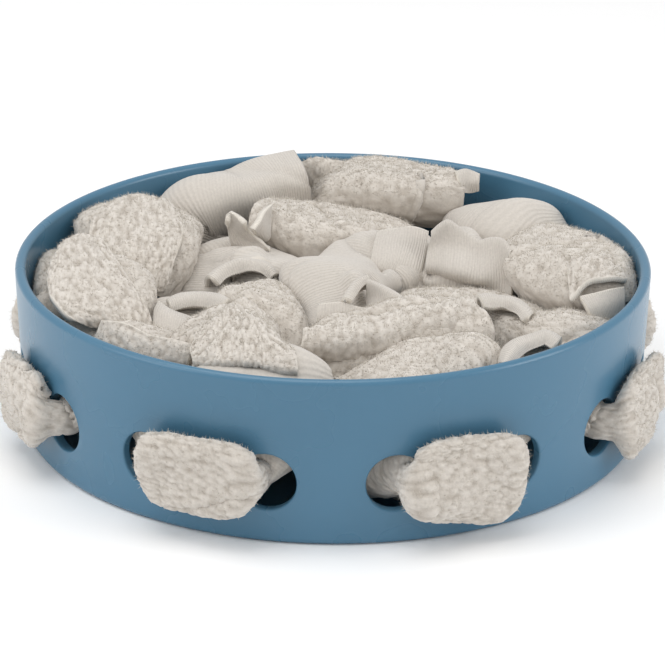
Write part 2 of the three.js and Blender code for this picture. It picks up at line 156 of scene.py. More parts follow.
# The strips' ends inside the bowl, under the angle of their hole. A row is a section of the roll:
# middle x, y, z, outer width and height, and how many degrees the sheet wraps round.
TAILS = {
    -11: (
        (-24, -113, 44, 40, 25, 320), (-24, -100, 56, 62, 29, 290), (-16, -78, 30, 26, 24, 330),
        (-20, -58, 34, 28, 25, 330), (-23, -40, 50, 34, 27, 320), (-31, -20, 55, 37, 28, 310),
        (-36, -2, 53, 33, 25, 300),
    ),
    -34: (
        (-68, -95, 42, 30, 26, 330), (-54, -78, 50, 32, 28, 310), (-42, -62, 57, 34, 30, 300),
        (-38, -44, 56, 30, 27, 310), (-38, -34, 52, 18, 18, 330),
    ),
    -56: (
        (-98, -68, 42, 31, 25, 330), (-86, -66, 52, 38, 25, 310), (-72, -62, 50, 36, 25, 310),
        (-62, -44, 46, 33, 26, 310), (-66, -24, 49, 36, 26, 310), (-64, -8, 46, 28, 20, 300),
    ),
    -79: (
        (-114, -32, 40, 31, 25, 330), (-100, -34, 51, 40, 28, 310), (-97, -14, 56, 44, 30, 300),
        (-103, 12, 57, 44, 30, 300), (-110, 34, 56, 40, 29, 310), (-111, 46, 53, 26, 24, 320),
    ),
    -101: (
        (-113, 24, 20, 24, 22, 330), (-88, 20, 18, 27, 24, 330), (-68, 4, 30, 30, 25, 325),
        (-65, 16, 47, 33, 26, 315), (-58, 36, 53, 35, 27, 310), (-49, 54, 53, 34, 26, 305),
        (-37, 44, 50, 36, 24, 295), (-34, 28, 51, 38, 20, 290), (-34, 18, 48, 31, 13, 290),
    ),
    -124: (
        (-108, 72, 46, 36, 26, 320), (-104, 74, 57, 50, 29, 300), (-94, 58, 59, 54, 30, 290),
        (-86, 34, 56, 42, 28, 300), (-83, 14, 49, 26, 21, 320),
    ),
    -146: (
        (-74, 98, 42, 31, 26, 330), (-64, 102, 58, 37, 29, 310), (-44, 106, 60, 37, 29, 310),
        (-26, 112, 63, 38, 29, 320), (-9, 115, 64, 38, 29, 330),
    ),
    -169: (
        (-21, 117, 21, 25, 22, 340), (-8, 115, 38, 34, 25, 330), (6, 114, 59, 40, 29, 320),
        (30, 113, 63, 42, 30, 320), (50, 113, 61, 40, 30, 330), (66, 112, 60, 36, 28, 350),
    ),
    169: (
        (29, 114, 21, 24, 22, 340), (34, 92, 25, 31, 24, 330), (28, 74, 46, 35, 27, 320),
        (8, 72, 56, 44, 30, 320), (-12, 75, 57, 44, 31, 320), (-31, 80, 57, 41, 29, 330),
    ),
    146: (
        (74, 98, 22, 24, 22, 340), (84, 76, 24, 26, 24, 330), (86, 50, 38, 33, 27, 320),
        (68, 34, 54, 42, 30, 310), (46, 40, 55, 40, 28, 300), (26, 40, 55, 40, 29, 300),
        (6, 20, 55, 46, 29, 290), (-2, -4, 55, 44, 28, 290), (0, -22, 52, 38, 20, 290),
        (4, -32, 49, 31, 13, 290),
    ),
    124: (
        (104, 76, 40, 31, 25, 330), (97, 68, 52, 36, 27, 320), (89, 74, 59, 42, 29, 310),
        (81, 90, 61, 42, 28, 310), (73, 106, 60, 38, 27, 310), (69, 115, 57, 32, 25, 320),
    ),
    101: (
        (116, 29, 39, 31, 25, 330), (112, 46, 52, 42, 30, 310), (103, 32, 56, 48, 30, 290),
        (106, 8, 56, 50, 30, 290), (113, -10, 54, 42, 28, 310), (117, -20, 48, 32, 22, 320),
    ),
    79: (
        (118, -24, 38, 31, 25, 330), (112, -36, 50, 36, 27, 320), (97, -42, 53, 36, 27, 320),
        (82, -32, 50, 31, 26, 320), (64, -16, 50, 34, 25, 310), (47, -4, 50, 34, 24, 310),
        (34, 3, 46, 26, 20, 310),
    ),
    56: (
        (100, -68, 42, 31, 25, 340), (92, -70, 52, 34, 27, 360), (80, -72, 54, 34, 28, 380),
    ),
    34: (
        (70, -98, 42, 31, 25, 330), (62, -84, 54, 36, 28, 310), (42, -84, 54, 38, 28, 310),
        (20, -98, 52, 36, 26, 310), (6, -106, 48, 30, 20, 310),
    ),
    11: (
        (22, -112, 22, 24, 22, 340), (6, -96, 20, 27, 24, 330), (-8, -84, 34, 30, 26, 330),
        (-3, -70, 52, 33, 28, 320), (18, -60, 56, 36, 30, 320), (40, -50, 57, 37, 30, 330),
        (61, -40, 57, 36, 29, 380),
    ),
}

# Rows of a tail, first to last, in which the brushed knit side lies outside instead of the pile
KNIT_OUTSIDE = {
    -11: (0, 2), -56: (3, 5), -101: (0, 8), -146: (0, 4), 146: (0, 9), 124: (0, 5),
}

# The bridge's turn round a hole's edge: how far out, how far turned, its share of the bridge's depth
# and height, its wrap and its thickness
BRIDGE_TURN = (
    (0.3, 25, 1.36, 0.56, 330, 2.8),
    (0.4, 55, 1.25, 0.82, 280, SHEET),
    (0.2, 85, 1.05, 0.94, 250, SHEET),
)

# Strips in order round the bowl from the front left: the holes of both ends, the bridge's middle,
# how far it lies above the holes, its height and its depth
STRIPS = (
    (-34, -11, -22.5, 2.4, 35, 12),
    (-79, -56, -67.5, 1.5, 38, 10),
    (-124, -101, -112.5, 1, 37, 11),
    (-169, -146, -157.5, 2, 36, 12),
    (146, 169, 157.5, 1.5, 38, 12),
    (101, 124, 112.5, 1, 36, 11),
    (56, 79, 67.5, 1, 39, 10),
    (11, 34, 22.5, 1.2, 39, 12),
)

# Soft furrows (down) and ridges (up): strip, from x, y to x, y in the plan, half width,
# and how far the cloth rises along it
FOLDS = (
    (1, -30, -88, -46, -52, 3.0, -2.5),
    (1, -38, -46, -36, -30, 4.0, 3.0),
    (5, 20, 8, 24, 40, 3.2, -4.5),
    (5, 44, 18, 47, 64, 3.0, -5.0),
    (5, 58, 60, 66, 40, 5.0, 5.0),
    (5, 70, 52, 66, 40, 4.0, -4.0),
    (5, 8, -10, 16, -30, 4.0, 4.5),
    (5, 16, -6, 24, -24, 3.0, -4.0),
    (3, -62, 42, -44, 50, 3.0, -3.5),
    (3, -48, 30, -30, 34, 3.0, 3.0),
    (6, 96, 20, 118, 8, 3.0, -3.0),
    (2, -80, -40, -52, -34, 4.0, -3.5),
    (8, 0, -62, 52, -36, 5.0, 1.5),
)

# Cut edges that lie on another layer: strip, from x, y to x, y in the plan, the edge's height, and how
# far behind it the layer has sunk back. The layer lies to the left of the line.
EDGES = (
    (3, -50, 16, -30, 20, 4.0, 14),
)

# Folds laid on the rolls, in mm: strip, 1 where the knit is outside, 1 where the first line
# rolls over behind, 1 where the last line tucks under, and lines of points x, y, z from the crest or
# edge down, each from left to right
LAID_FOLDS = (
    # Ear-shaped flap of the middle strip
    (5, 1, 0, 1, (
        ((-48, 44, 75), (-47, 46, 79), (-43, 45, 77), (-40, 42, 75)),
        ((-48, 46, 70), (-45, 46, 71), (-42, 46, 70), (-38, 46, 70)),
        ((-47, 47, 65), (-42, 47, 65), (-38, 47, 65), (-33, 46, 65)),
        ((-45, 50, 60), (-39, 48, 60), (-34, 46, 61), (-29, 46, 61)),
    )),
    # Curled end beside it
    (5, 1, 0, 1, (
        ((-37, 40, 73), (-34, 46, 75), (-32, 54, 76), (-29, 64, 76)),
        ((-36, 45, 70), (-33, 49, 70), (-31, 56, 71), (-29, 60, 73)),
        ((-35, 53, 65), (-32, 52, 64), (-30, 53, 65), (-30, 56, 67)),
    )),
    # Ribbed fold with two peaks
    (5, 1, 1, 1, (
        ((45, 28, 76), (49, 28, 80), (52, 28, 81), (58, 27, 77),
         (65, 25, 73), (71, 23, 75), (76, 19, 76), (79, 14, 73)),
        ((43, 25, 69), (47, 24, 71), (51, 23, 71), (58, 21, 70),
         (65, 19, 68), (71, 17, 70), (76, 14, 71), (79, 10, 69)),
        ((42, 19, 63), (47, 15, 64), (51, 12, 64), (57, 9, 64),
         (64, 8, 62), (71, 8, 62), (77, 8, 61), (80, 6, 60)),
        ((43, 24, 58), (48, 22, 57), (53, 20, 57), (59, 17, 56),
         (65, 14, 56), (71, 10, 55), (77, 6, 54), (80, 4, 54)),
    )),
    # Flat fold to the left of it
    (5, 1, 0, 1, (
        ((20, 41, 71), (28, 43, 72), (36, 43, 73), (43, 42, 71)),
        ((18, 30, 69), (26, 32, 69), (35, 34, 68), (42, 34, 67)),
        ((17, 22, 65), (25, 21, 65), (32, 21, 64), (40, 22, 62)),
        ((18, 20, 61), (23, 18, 61), (30, 17, 60), (38, 20, 57)),
    )),
    # Top layer at the right wall, with its cut edge in front
    (6, 0, 1, 0, (
        ((104, 2, 73), (112, 7, 76), (121, 9, 74), (127, 6, 71)),
        ((103, -14, 75), (110, -10, 78), (119, -6, 76), (127, -4, 71)),
        ((103, -36, 69), (108, -30, 73), (114, -26, 75), (121, -21, 74), (129, -12, 70)),
    )),
    # Layer under that edge
    (6, 1, 0, 1, (
        ((107, -32, 69), (114, -29, 70), (120, -24, 70), (127, -16, 68)),
        ((110, -38, 66), (116, -34, 66), (122, -29, 65), (127, -22, 64)),
        ((112, -38, 60), (118, -34, 60), (123, -29, 59), (127, -23, 59)),
    )),
    # Turned end of the front roll
    (7, 1, 1, 0, (
        ((63, -24, 66), (68, -22, 66), (73, -21, 65), (78, -23, 65), (83, -28, 64), (86, -37, 63)),
        ((64, -33, 68), (68, -31, 68), (73, -30, 67), (78, -32, 67), (82, -37, 66), (85, -44, 65)),
        ((65, -38, 66), (69, -36, 65), (73, -34, 65), (77, -35, 64), (80, -39, 64), (82, -45, 63)),
    )),
    # Curled mouth at the front right
    (8, 1, 1, 0, (
        ((70, -101, 67), (72, -90, 68), (77, -80, 68), (84, -73, 68), (90, -70, 68), (96, -75, 67)),
        ((71, -108, 70), (74, -98, 71), (78, -90, 71), (84, -83, 71), (90, -79, 71), (95, -84, 70)),
        ((73, -109, 68), (76, -100, 68), (80, -92, 68), (84, -87, 68), (89, -83, 68), (92, -87, 68)),
    )),
    # Curled edge over the slit on the left
    (3, 1, 1, 0, (
        ((-56, 10, 60), (-51, 16, 62), (-43, 18, 65), (-35, 18, 66), (-29, 16, 64), (-24, 12, 60)),
        ((-54, 3, 63), (-49, 10, 65), (-42, 13, 67), (-35, 13, 67), (-30, 11, 66), (-26, 8, 63)),
        ((-51, 2, 60), (-47, 7, 62), (-41, 10, 63), (-36, 10, 64), (-31, 9, 63), (-28, 7, 61)),
    )),
    # Peak in the middle, right side
    (5, 1, 1, 1, (
        ((15, -28, 75), (19, -32, 75), (24, -38, 74), (29, -44, 73), (34, -50, 71)),
        ((15, -30, 69), (19, -33, 69), (23, -40, 70), (27, -46, 69), (31, -50, 69)),
        ((15, -33, 63), (18, -36, 64), (22, -41, 65), (26, -46, 65), (30, -50, 65)),
        ((15, -34, 58), (18, -36, 58), (22, -40, 59), (26, -44, 60), (29, -48, 61)),
    )),
    # The peak's left lip
    (5, 1, 1, 0, (
        ((5, -41, 71), (8, -33, 73), (11, -28, 75), (15, -26, 76)),
        ((8, -41, 70), (10, -35, 71), (13, -30, 73), (16, -28, 74)),
    )),
    # The peak's front
    (5, 1, 0, 1, (
        ((-6, -40, 68), (-1, -40, 69), (5, -40, 69), (9, -41, 68), (15, -43, 68)),
        ((-7, -44, 65), (-1, -44, 65), (5, -44, 66), (10, -45, 65), (15, -45, 65)),
        ((-7, -45, 60), (-1, -46, 60), (5, -46, 61), (10, -46, 61), (15, -46, 62)),
    )),
    # Flap along the front left wall
    (2, 0, 0, 1, (
        ((-98, -62, 69), (-92, -66, 70), (-85, -71, 70), (-77, -78, 69), (-68, -83, 69), (-59, -88, 69)),
        ((-99, -64, 66), (-93, -70, 67), (-86, -76, 67), (-77, -82, 66), (-68, -87, 66), (-59, -91, 67)),
        ((-100, -66, 62), (-93, -74, 63), (-85, -80, 62), (-77, -85, 61), (-69, -89, 61), (-60, -92, 63)),
    )),
    # Upper lip of the left hollow
    (2, 1, 1, 0, (
        ((-72, -26, 64), (-66, -22, 65), (-58, -20, 65), (-51, -25, 66), (-45, -34, 67)),
        ((-71, -32, 65), (-65, -29, 66), (-58, -27, 66), (-51, -31, 67), (-46, -39, 68)),
        ((-70, -34, 62), (-64, -32, 63), (-58, -31, 63), (-52, -35, 64), (-47, -42, 65)),
    )),
    # Lower lip of the left hollow
    (2, 1, 0, 1, (
        ((-76, -28, 64), (-70, -37, 63), (-64, -42, 63), (-58, -47, 64), (-52, -48, 65)),
        ((-77, -38, 63), (-70, -46, 64), (-63, -52, 64), (-58, -55, 64), (-53, -56, 64)),
        ((-77, -48, 60), (-70, -55, 60), (-65, -59, 60), (-60, -61, 60), (-55, -61, 61)),
    )),
    # Inner turn at the end of the back roll
    (4, 1, 1, 0, (
        ((57, 100, 79), (61, 103, 79), (64, 104, 78), (68, 102, 77)),
        ((58, 96, 76), (61, 98, 76), (64, 99, 75), (68, 99, 75)),
        ((59, 96, 71), (62, 99, 70), (65, 100, 70), (68, 100, 71)),
    )),
    # Pile layer behind the back strip's cut end
    (4, 0, 1, 0, (
        ((-15, 127, 73), (-10, 128, 74), (-4, 128, 74), (6, 126, 74)),
        ((-14, 124, 67), (-9, 124, 67), (-3, 122, 68), (6, 120, 68)),
        ((-13, 123, 58), (-8, 121, 59), (-2, 119, 60), (6, 116, 61)),
        ((-12, 126, 50), (-7, 124, 51), (-1, 122, 52), (6, 118, 53)),
    )),
    # Three-cornered fold at the front
    (1, 0, 1, 1, (
        ((-57, -90, 73), (-51, -78, 75), (-46, -69, 77), (-42, -66, 77),
         (-36, -70, 77), (-29, -80, 75), (-16, -106, 73)),
        ((-59, -99, 71), (-52, -93, 74), (-45, -90, 76), (-39, -90, 78),
         (-32, -94, 79), (-27, -100, 78), (-15, -111, 73)),
        ((-57, -105, 68), (-51, -109, 70), (-44, -112, 72), (-37, -114, 73),
         (-31, -115, 73), (-26, -116, 72), (-14, -117, 70)),
    )),
    # Front of the roll across the middle
    (7, 0, 1, 1, (
        ((-12, -78, 71), (0, -72, 72), (14, -65, 72), (29, -57, 72), (44, -48, 72), (60, -38, 71)),
        ((-13, -86, 68), (1, -82, 69), (16, -76, 70), (31, -68, 70), (46, -59, 70), (62, -49, 69)),
        ((-12, -80, 60), (3, -80, 61), (18, -77, 62), (33, -70, 61), (48, -60, 60), (64, -47, 60)),
    )),
    # Back fold on the left
    (3, 0, 1, 1, (
        ((-109, 42, 75), (-104, 52, 77), (-94, 64, 78), (-85, 66, 78), (-75, 60, 76), (-68, 44, 74)),
        ((-109, 24, 73), (-101, 30, 74), (-91, 34, 75), (-82, 34, 75), (-74, 30, 74), (-68, 24, 73)),
        ((-101, 6, 70), (-95, 8, 70), (-88, 10, 70), (-81, 12, 69), (-75, 13, 68), (-71, 14, 67)),
        ((-97, -2, 63), (-92, -2, 62), (-87, 0, 60), (-82, 2, 59), (-78, 4, 58), (-75, 8, 58)),
    )),
    # Fold at the left wall
    (2, 0, 1, 1, (
        ((-123, -28, 73), (-122, -6, 75), (-118, 12, 76), (-111, 20, 76), (-103, 16, 75)),
        ((-121, -48, 73), (-115, -32, 75), (-108, -20, 76), (-100, -14, 76), (-93, -14, 74)),
        ((-112, -60, 69), (-105, -52, 70), (-97, -44, 71), (-89, -38, 71), (-83, -36, 69)),
        ((-101, -51, 62), (-95, -53, 62), (-88, -54, 62), (-82, -52, 61), (-78, -45, 60)),
    )),
)


def linear(hex_colour):
    """Turns an sRGB hex colour into linear RGB."""
    parts = [int(hex_colour[i:i + 2], 16) / 255 for i in (1, 3, 5)]
    return tuple(c / 12.92 if c <= 0.04045 else ((c + 0.055) / 1.055) ** 2.4 for c in parts)


def smoothstep(value, low, high):
    """0 up to low, 1 from high on, and a soft S between."""
    t = np.clip((value - low) / (high - low), 0, 1)
    return t * t * (3 - 2 * t)


# Meshes

def grid_faces(rows, columns, closed=False):
    """Quads between neighbours of a grid of rows x columns points, round the columns too if closed."""
    i = np.arange(rows - 1)[:, None]
    j = np.arange(columns if closed else columns - 1)[None, :]
    k = (j + 1) % columns
    return np.stack([i * columns + j, i * columns + k, (i + 1) * columns + k, (i + 1) * columns + j],
                    axis=-1).reshape(-1, 4)


def weld(points, quads, snap=1e-7):
    """Merges points that share a place, and drops the corners and faces that this makes empty."""
    keys = np.round(points / snap).astype(np.int64)
    _, first, inverse = np.unique(keys, axis=0, return_index=True, return_inverse=True)
    corners = inverse.reshape(-1)[quads]
    tris = np.concatenate([corners[:, :3], corners[:, [0, 2, 3]]])
    good = (tris[:, 0] != tris[:, 1]) & (tris[:, 1] != tris[:, 2]) & (tris[:, 2] != tris[:, 0])
    return points[first], tris[good]


def new_object(name, points, faces, material):
    """A smooth-shaded mesh object at the origin from points in metres and faces of 3 or 4 corners."""
    mesh = bpy.data.meshes.new(name)
    sides = faces.shape[1]
    mesh.vertices.add(len(points))
    mesh.vertices.foreach_set("co", np.ascontiguousarray(points, dtype=np.float32).ravel())
    mesh.loops.add(faces.size)
    mesh.loops.foreach_set("vertex_index", np.ascontiguousarray(faces, dtype=np.int32).ravel())
    mesh.polygons.add(len(faces))
    mesh.polygons.foreach_set("loop_start", np.arange(0, faces.size, sides, dtype=np.int32))
    mesh.update(calc_edges=True)
    mesh.validate()
    mesh.shade_smooth()
    mesh.materials.append(material)
    obj = bpy.data.objects.new(name, mesh)
    bpy.context.scene.collection.objects.link(obj)
    return obj


def add_attribute(obj, name, values):
    """Keeps one number a vertex on the mesh, for its material."""
    obj.data.attributes.new(name, "FLOAT", "POINT").data.foreach_set("value", values.astype(np.float32))


def add_uv(obj, name, uv):
    """Gives the mesh a UV map from one pair a vertex."""
    corner = np.empty(len(obj.data.loops), dtype=np.int32)
    obj.data.loops.foreach_get("vertex_index", corner)
    obj.data.uv_layers.new(name=name).data.foreach_set("uv", uv[corner].astype(np.float32).ravel())


# Bowl

def wall_radius(z):
    """Outer radius of the wall at a height: a cone from the base edge to the lip."""
    low, high = BASE_EDGE_RADIUS, BOWL_HEIGHT - WALL_THICKNESS / 2
    return BASE_RADIUS + (RIM_RADIUS - BASE_RADIUS) * (z - low) / (high - low)


def arc(x, y, radius, start, end, steps):
    """Points (x, y) on a circle from one angle to another, in degrees."""
    angle = np.radians(np.linspace(start, end, steps + 1))
    return np.stack([x + radius * np.cos(angle), y + radius * np.sin(angle)], axis=1)


def turned(profile, angles):
    """A profile of (radius, height) points turned round Z through the angles."""
    r, z = profile[:, 0][:, None], profile[:, 1][:, None]
    return np.stack([r * np.sin(angles), -r * np.cos(angles), z + 0 * angles], axis=-1)


def bowl_mesh(hole_radius, sector_steps=14, side_steps=10):
    """The bowl as grids: a turned base and lip, and round each hole a patch between a rectangle of
    wall and the hole's circle, whose edge rolls over a quarter round into the hole's barrel."""
    points, faces = [], []

    def add(grid, closed=False, flip=False):
        quads = grid_faces(grid.shape[0], grid.shape[1], closed)
        quads = quads[:, ::-1] if flip else quads
        faces.append(quads + sum(len(p) for p in points))
        points.append(grid.reshape(-1, 3))

    lip = WALL_THICKNESS / 2
    steps = HOLE_COUNT * sector_steps
    angles = np.radians(np.arange(steps + 1) * 360 / steps)

    def column(z, inset):
        """Points of the wall's face at heights z, or inset from it."""
        return np.stack([wall_radius(z) - inset, z], axis=1)

    base = np.concatenate([
        [[radius, 0] for radius in BASE_RINGS],
        arc(BASE_RADIUS - BASE_EDGE_RADIUS, BASE_EDGE_RADIUS, BASE_EDGE_RADIUS, -90, 0, 8),
        column(np.linspace(4, PATCH_LOW, 4), 0),
    ])
    rim = np.concatenate([
        column(np.linspace(PATCH_HIGH, BOWL_HEIGHT - lip - 0.5, 10), 0),
        arc(RIM_RADIUS - lip, BOWL_HEIGHT - lip, lip, 0, 180, 18),
        column(np.linspace(BOWL_HEIGHT - lip - 0.5, PATCH_HIGH, 10), WALL_THICKNESS),
    ])
    inner_foot = wall_radius(FLOOR_THICKNESS + FLOOR_FILLET) - WALL_THICKNESS - FLOOR_FILLET
    floor = np.concatenate([
        column(np.array([PATCH_LOW]), WALL_THICKNESS),
        arc(inner_foot, FLOOR_THICKNESS + FLOOR_FILLET, FLOOR_FILLET, 0, -90, 8),
        [[radius, FLOOR_THICKNESS] for radius in FLOOR_RINGS],
    ])
    for profile in (base, rim, floor):
        add(turned(profile, angles))

    half = math.radians(HOLE_ANGLE / 2)
    across = np.linspace(-half, half, sector_steps + 1)
    up = np.linspace(PATCH_LOW, PATCH_HIGH, side_steps + 1)
    corners = np.concatenate([
        np.stack([across[:-1], np.full(sector_steps, PATCH_LOW)], axis=1),
        np.stack([np.full(side_steps, half), up[:-1]], axis=1),
        np.stack([across[:0:-1], np.full(sector_steps, PATCH_HIGH)], axis=1),
        np.stack([np.full(side_steps, -half), up[:0:-1]], axis=1),
    ])
    corners = np.concatenate([corners, corners[:1]])
    round_angle = np.arctan2(corners[:, 1] - HOLE_HEIGHT, corners[:, 0] * wall_radius(HOLE_HEIGHT))
    wide = hole_radius + HOLE_EDGE_RADIUS
    circle_x, circle_z = wide * np.cos(round_angle), HOLE_HEIGHT + wide * np.sin(round_angle)
    mix = np.linspace(0, 1, 7)[:, None]

    def on_wall(x, z, inset):
        """A point beside the hole's axis at x, z on the wall's outer face, or inset from it."""
        return np.stack([x, np.sqrt((wall_radius(z) - inset) ** 2 - x ** 2), z], axis=-1)

    def patch(inset):
        """The wall's face between the rectangle and the hole."""
        circle_angle = np.arcsin(circle_x / (wall_radius(circle_z) - inset))
        a = corners[:, 0] * (1 - mix) + circle_angle * mix
        z = corners[:, 1] * (1 - mix) + circle_z * mix
        r = wall_radius(z) - inset
        return np.stack([r * np.sin(a), r * np.cos(a), z], axis=-1)

    def edge(inset, sign):
        """A quarter round from the wall's face into the hole."""
        turn = np.radians(np.linspace(0, 90, 6))[:, None]
        reach = wide - HOLE_EDGE_RADIUS * np.sin(turn)
        x, z = reach * np.cos(round_angle), HOLE_HEIGHT + reach * np.sin(round_angle)
        ring = on_wall(x, z, inset)
        ring[..., 1] -= sign * HOLE_EDGE_RADIUS * (1 - np.cos(turn))
        return ring

    outer, inner = edge(0, 1), edge(WALL_THICKNESS, -1)
    hole = np.concatenate([patch(0), outer[1:], inner[::-1][:-1], patch(WALL_THICKNESS)[::-1]])
    for i in range(HOLE_COUNT):
        angle = math.radians((i + 0.5) * HOLE_ANGLE)
        place = np.stack([
            hole[..., 0] * math.cos(angle) + hole[..., 1] * math.sin(angle),
            hole[..., 0] * math.sin(angle) - hole[..., 1] * math.cos(angle),
            hole[..., 2],
        ], axis=-1)
        add(place)
    return weld(np.concatenate(points) * MM, np.concatenate(faces))


# Strips: where they run

def around(angle, radius):
    """Plan x, y at an angle round the bowl from the front towards +X."""
    return radius * np.sin(np.radians(angle)), -radius * np.cos(np.radians(angle))


def bridge_rows(middle, lift, high, deep):
    """Rows x, y, z, wide, high, slit, wrap, thick of a bridge outside, from one hole to the next."""
    edge = HOLE_ANGLE / 2 - math.degrees(HOLE_RADIUS / BASE_RADIUS)
    wall = (BASE_RADIUS + RIM_RADIUS) / 2 + WALL_LEAN

    def row(swing, outward, wide, tall, wrap, thick):
        """A section swung so far round the hole's edge, from in it (0) to along the wall (90)."""
        reach = wide / 2 + 2 * CLEARANCE
        angle = edge + math.degrees(reach * math.cos(math.radians(swing)) / wall)
        radius = wall + reach * math.sin(math.radians(swing)) + outward
        return [angle, radius, HOLE_HEIGHT + lift * swing / 90, wide, tall, SLIT_TO_WALL, wrap, thick]

    half = [row(0, inward, BUNDLE_WIDE, BUNDLE_HIGH, BUNDLE_WRAP, SHEET_IN_HOLE)
            for inward in BUNDLE_INWARD]
    half += [row(swing, outward, deep * depths, high * heights, wrap, thick)
             for outward, swing, depths, heights, wrap, thick in BRIDGE_TURN]
    centre = row(90, 0, deep, high, BRIDGE_WRAP, SHEET)
    centre[0] = 0
    rows = [[-r[0], *r[1:]] for r in half] + [centre] + half[::-1]
    return [[*around(middle + angle, radius), *rest] for angle, radius, *rest in rows]


def tail_rows(hole):
    """Rows of a tail, and for each whether its knit side is outside."""
    low, high = KNIT_OUTSIDE.get(hole, (1, 0))
    rows = [[x, y, z, wide, tall, SLIT_DOWN, wrap, SHEET] for x, y, z, wide, tall, wrap in TAILS[hole]]
    return rows, [float(low <= i <= high) for i in range(len(rows))]


def blend(rows, places):
    """Catmull-Rom through the rows at places counted in rows."""
    last = len(rows) - 1
    i = np.minimum(np.floor(places).astype(int), last - 1)
    t = (places - i)[:, None]
    p0, p1, p2, p3 = rows[np.maximum(i - 1, 0)], rows[i], rows[i + 1], rows[np.minimum(i + 2, last)]
    a = 2 * p1 + (p2 - p0) * t
    b = (2 * p0 - 5 * p1 + 4 * p2 - p3) * t ** 2
    c = (3 * p1 - p0 - 3 * p2 + p3) * t ** 3
    return (a + b + c) / 2


def laid_rings(strip):
    """Sections about one ring spacing apart along a strip, which of them can't move, and how far
    each has its knit side outside."""
    first, second, middle, lift, high, deep = strip
    rows_a, knit_a = tail_rows(first)
    rows_b, knit_b = tail_rows(second)
    bridge = bridge_rows(middle, lift, high, deep)
    rows = np.array(rows_a[::-1] + bridge + rows_b, dtype=float)
    knit = np.array(knit_a[::-1] + [0.0] * len(bridge) + knit_b)
    fixed = np.array([False] * len(rows_a) + [True] * len(bridge) + [False] * len(rows_b))
    places, pinned = [], []
    for i in range(len(rows) - 1):
        gap = np.linalg.norm(rows[i + 1, :3] - rows[i, :3])
        count = max(1, math.floor(gap / RING_SPACING + 0.5))
        places += [i + k / count for k in range(count)]
        pinned += [bool(fixed[i] and (k == 0 or fixed[i + 1])) for k in range(count)]
    places.append(len(rows) - 1)
    pinned.append(bool(fixed[-1]))
    places = np.array(places)
    return blend(rows, places), np.array(pinned), np.interp(places, np.arange(len(rows)), knit)


def directions(path):
    """Unit direction of the route at each of its points, from its neighbours."""
    index = np.arange(len(path))
    step = path[np.minimum(index + 1, len(path) - 1)] - path[np.maximum(index - 1, 0)]
    return step / np.linalg.norm(step, axis=1, keepdims=True)


def sideways(direction):
    """Level unit vectors to the right of the directions."""
    side = np.cross(direction, [0, 0, 1])
    return side / np.linalg.norm(side, axis=1, keepdims=True)


def settle(strips):
    """Pushes rings apart where the strips would meet, and inside the wall, the floor and the rim.
    Balls stand for the sections, two where one is wide. All pushes of a round come from one state."""
    ring_of, side, shift, radius, strip_of, index_of = [], [], [], [], [], []
    start = 0
    for number, (rings, _, _) in enumerate(strips):
        across = sideways(directions(rings[:, :3]))
        size = np.minimum(rings[:, 3], rings[:, 4]) / 2 * SQUEEZED_SIZE
        size[[0, -1]] *= END_SIZE
        offset = np.maximum(rings[:, 3] - rings[:, 4], 0) / 2
        for sign in (-1, 1):
            two = offset > TWO_BALLS_FROM
            here = np.flatnonzero(two | (sign < 0))
            ring_of.append(start + here)
            side.append(across[here])
            shift.append(np.where(two, sign * offset, 0)[here])
            radius.append(size[here])
            strip_of.append(np.full(len(here), number))
            index_of.append(here)
        start += len(rings)
    ring_of, shift, radius = map(np.concatenate, (ring_of, shift, radius))
    strip_of, index_of = map(np.concatenate, (strip_of, index_of))
    side = np.concatenate(side) * shift[:, None]
    laid = np.concatenate([rings[:, :3] for rings, _, _ in strips])
    pinned = np.concatenate([p for _, p, _ in strips])
    fixed = pinned[ring_of]
    apart_rings = (strip_of[:, None] != strip_of) | (np.abs(index_of[:, None] - index_of) >= OWN_RINGS)
    can_push = apart_rings & ~(fixed[:, None] & fixed)
    part = PUSH_PART * np.where(fixed[:, None] | fixed, 2, 1)
    need = radius[:, None] + radius + SETTLE_GAP
    inner = np.ones(len(laid), bool)
    ends = np.cumsum([len(rings) for rings, _, _ in strips])
    inner[ends - 1] = False
    inner[np.concatenate([[0], ends[:-1]])] = False
    spots = laid.copy()
    for turn in range(SETTLE_ROUNDS):
        place = spots[ring_of] + side
        apart = place[:, None] - place
        distance = np.linalg.norm(apart, axis=2)
        near = can_push & (distance < need)
        safe = np.where(near, distance, 1)
        factor = np.where(near, part * (need - safe) / safe, 0)
        push = np.einsum("ij,ijk->ik", factor, apart)
        out = np.hypot(place[:, 0], place[:, 1])
        reach = np.maximum(out + radius + CLEARANCE - INNER_RADIUS, 0) / 2
        push[:, :2] -= place[:, :2] * (reach / np.maximum(out, 1e-9))[:, None]
        push[:, 2] += np.maximum(FLOOR_THICKNESS + radius + 2 * CLEARANCE - place[:, 2], 0) / 2
        push[:, 2] -= np.maximum(place[:, 2] + radius - FLEECE_TOP, 0) / 2
        total = np.zeros_like(spots)
        np.add.at(total, ring_of, push)
        spots[~pinned] += total[~pinned]
        if turn < SETTLE_ROUNDS - LAST_ROUNDS:
            shifts = spots - laid
            smoother = np.zeros_like(shifts)
            smoother[1:-1] = (shifts[:-2] + shifts[2:]) / 2 - shifts[1:-1]
            free = inner & ~pinned
            spots[free] += SHARED_PART * smoother[free]
    settled, start = [], 0
    for rings, _, knit in strips:
        settled.append((np.concatenate([spots[start:start + len(rings)], rings[:, 3:]], axis=1), knit))
        start += len(rings)
    return settled


# Strips: their cloth

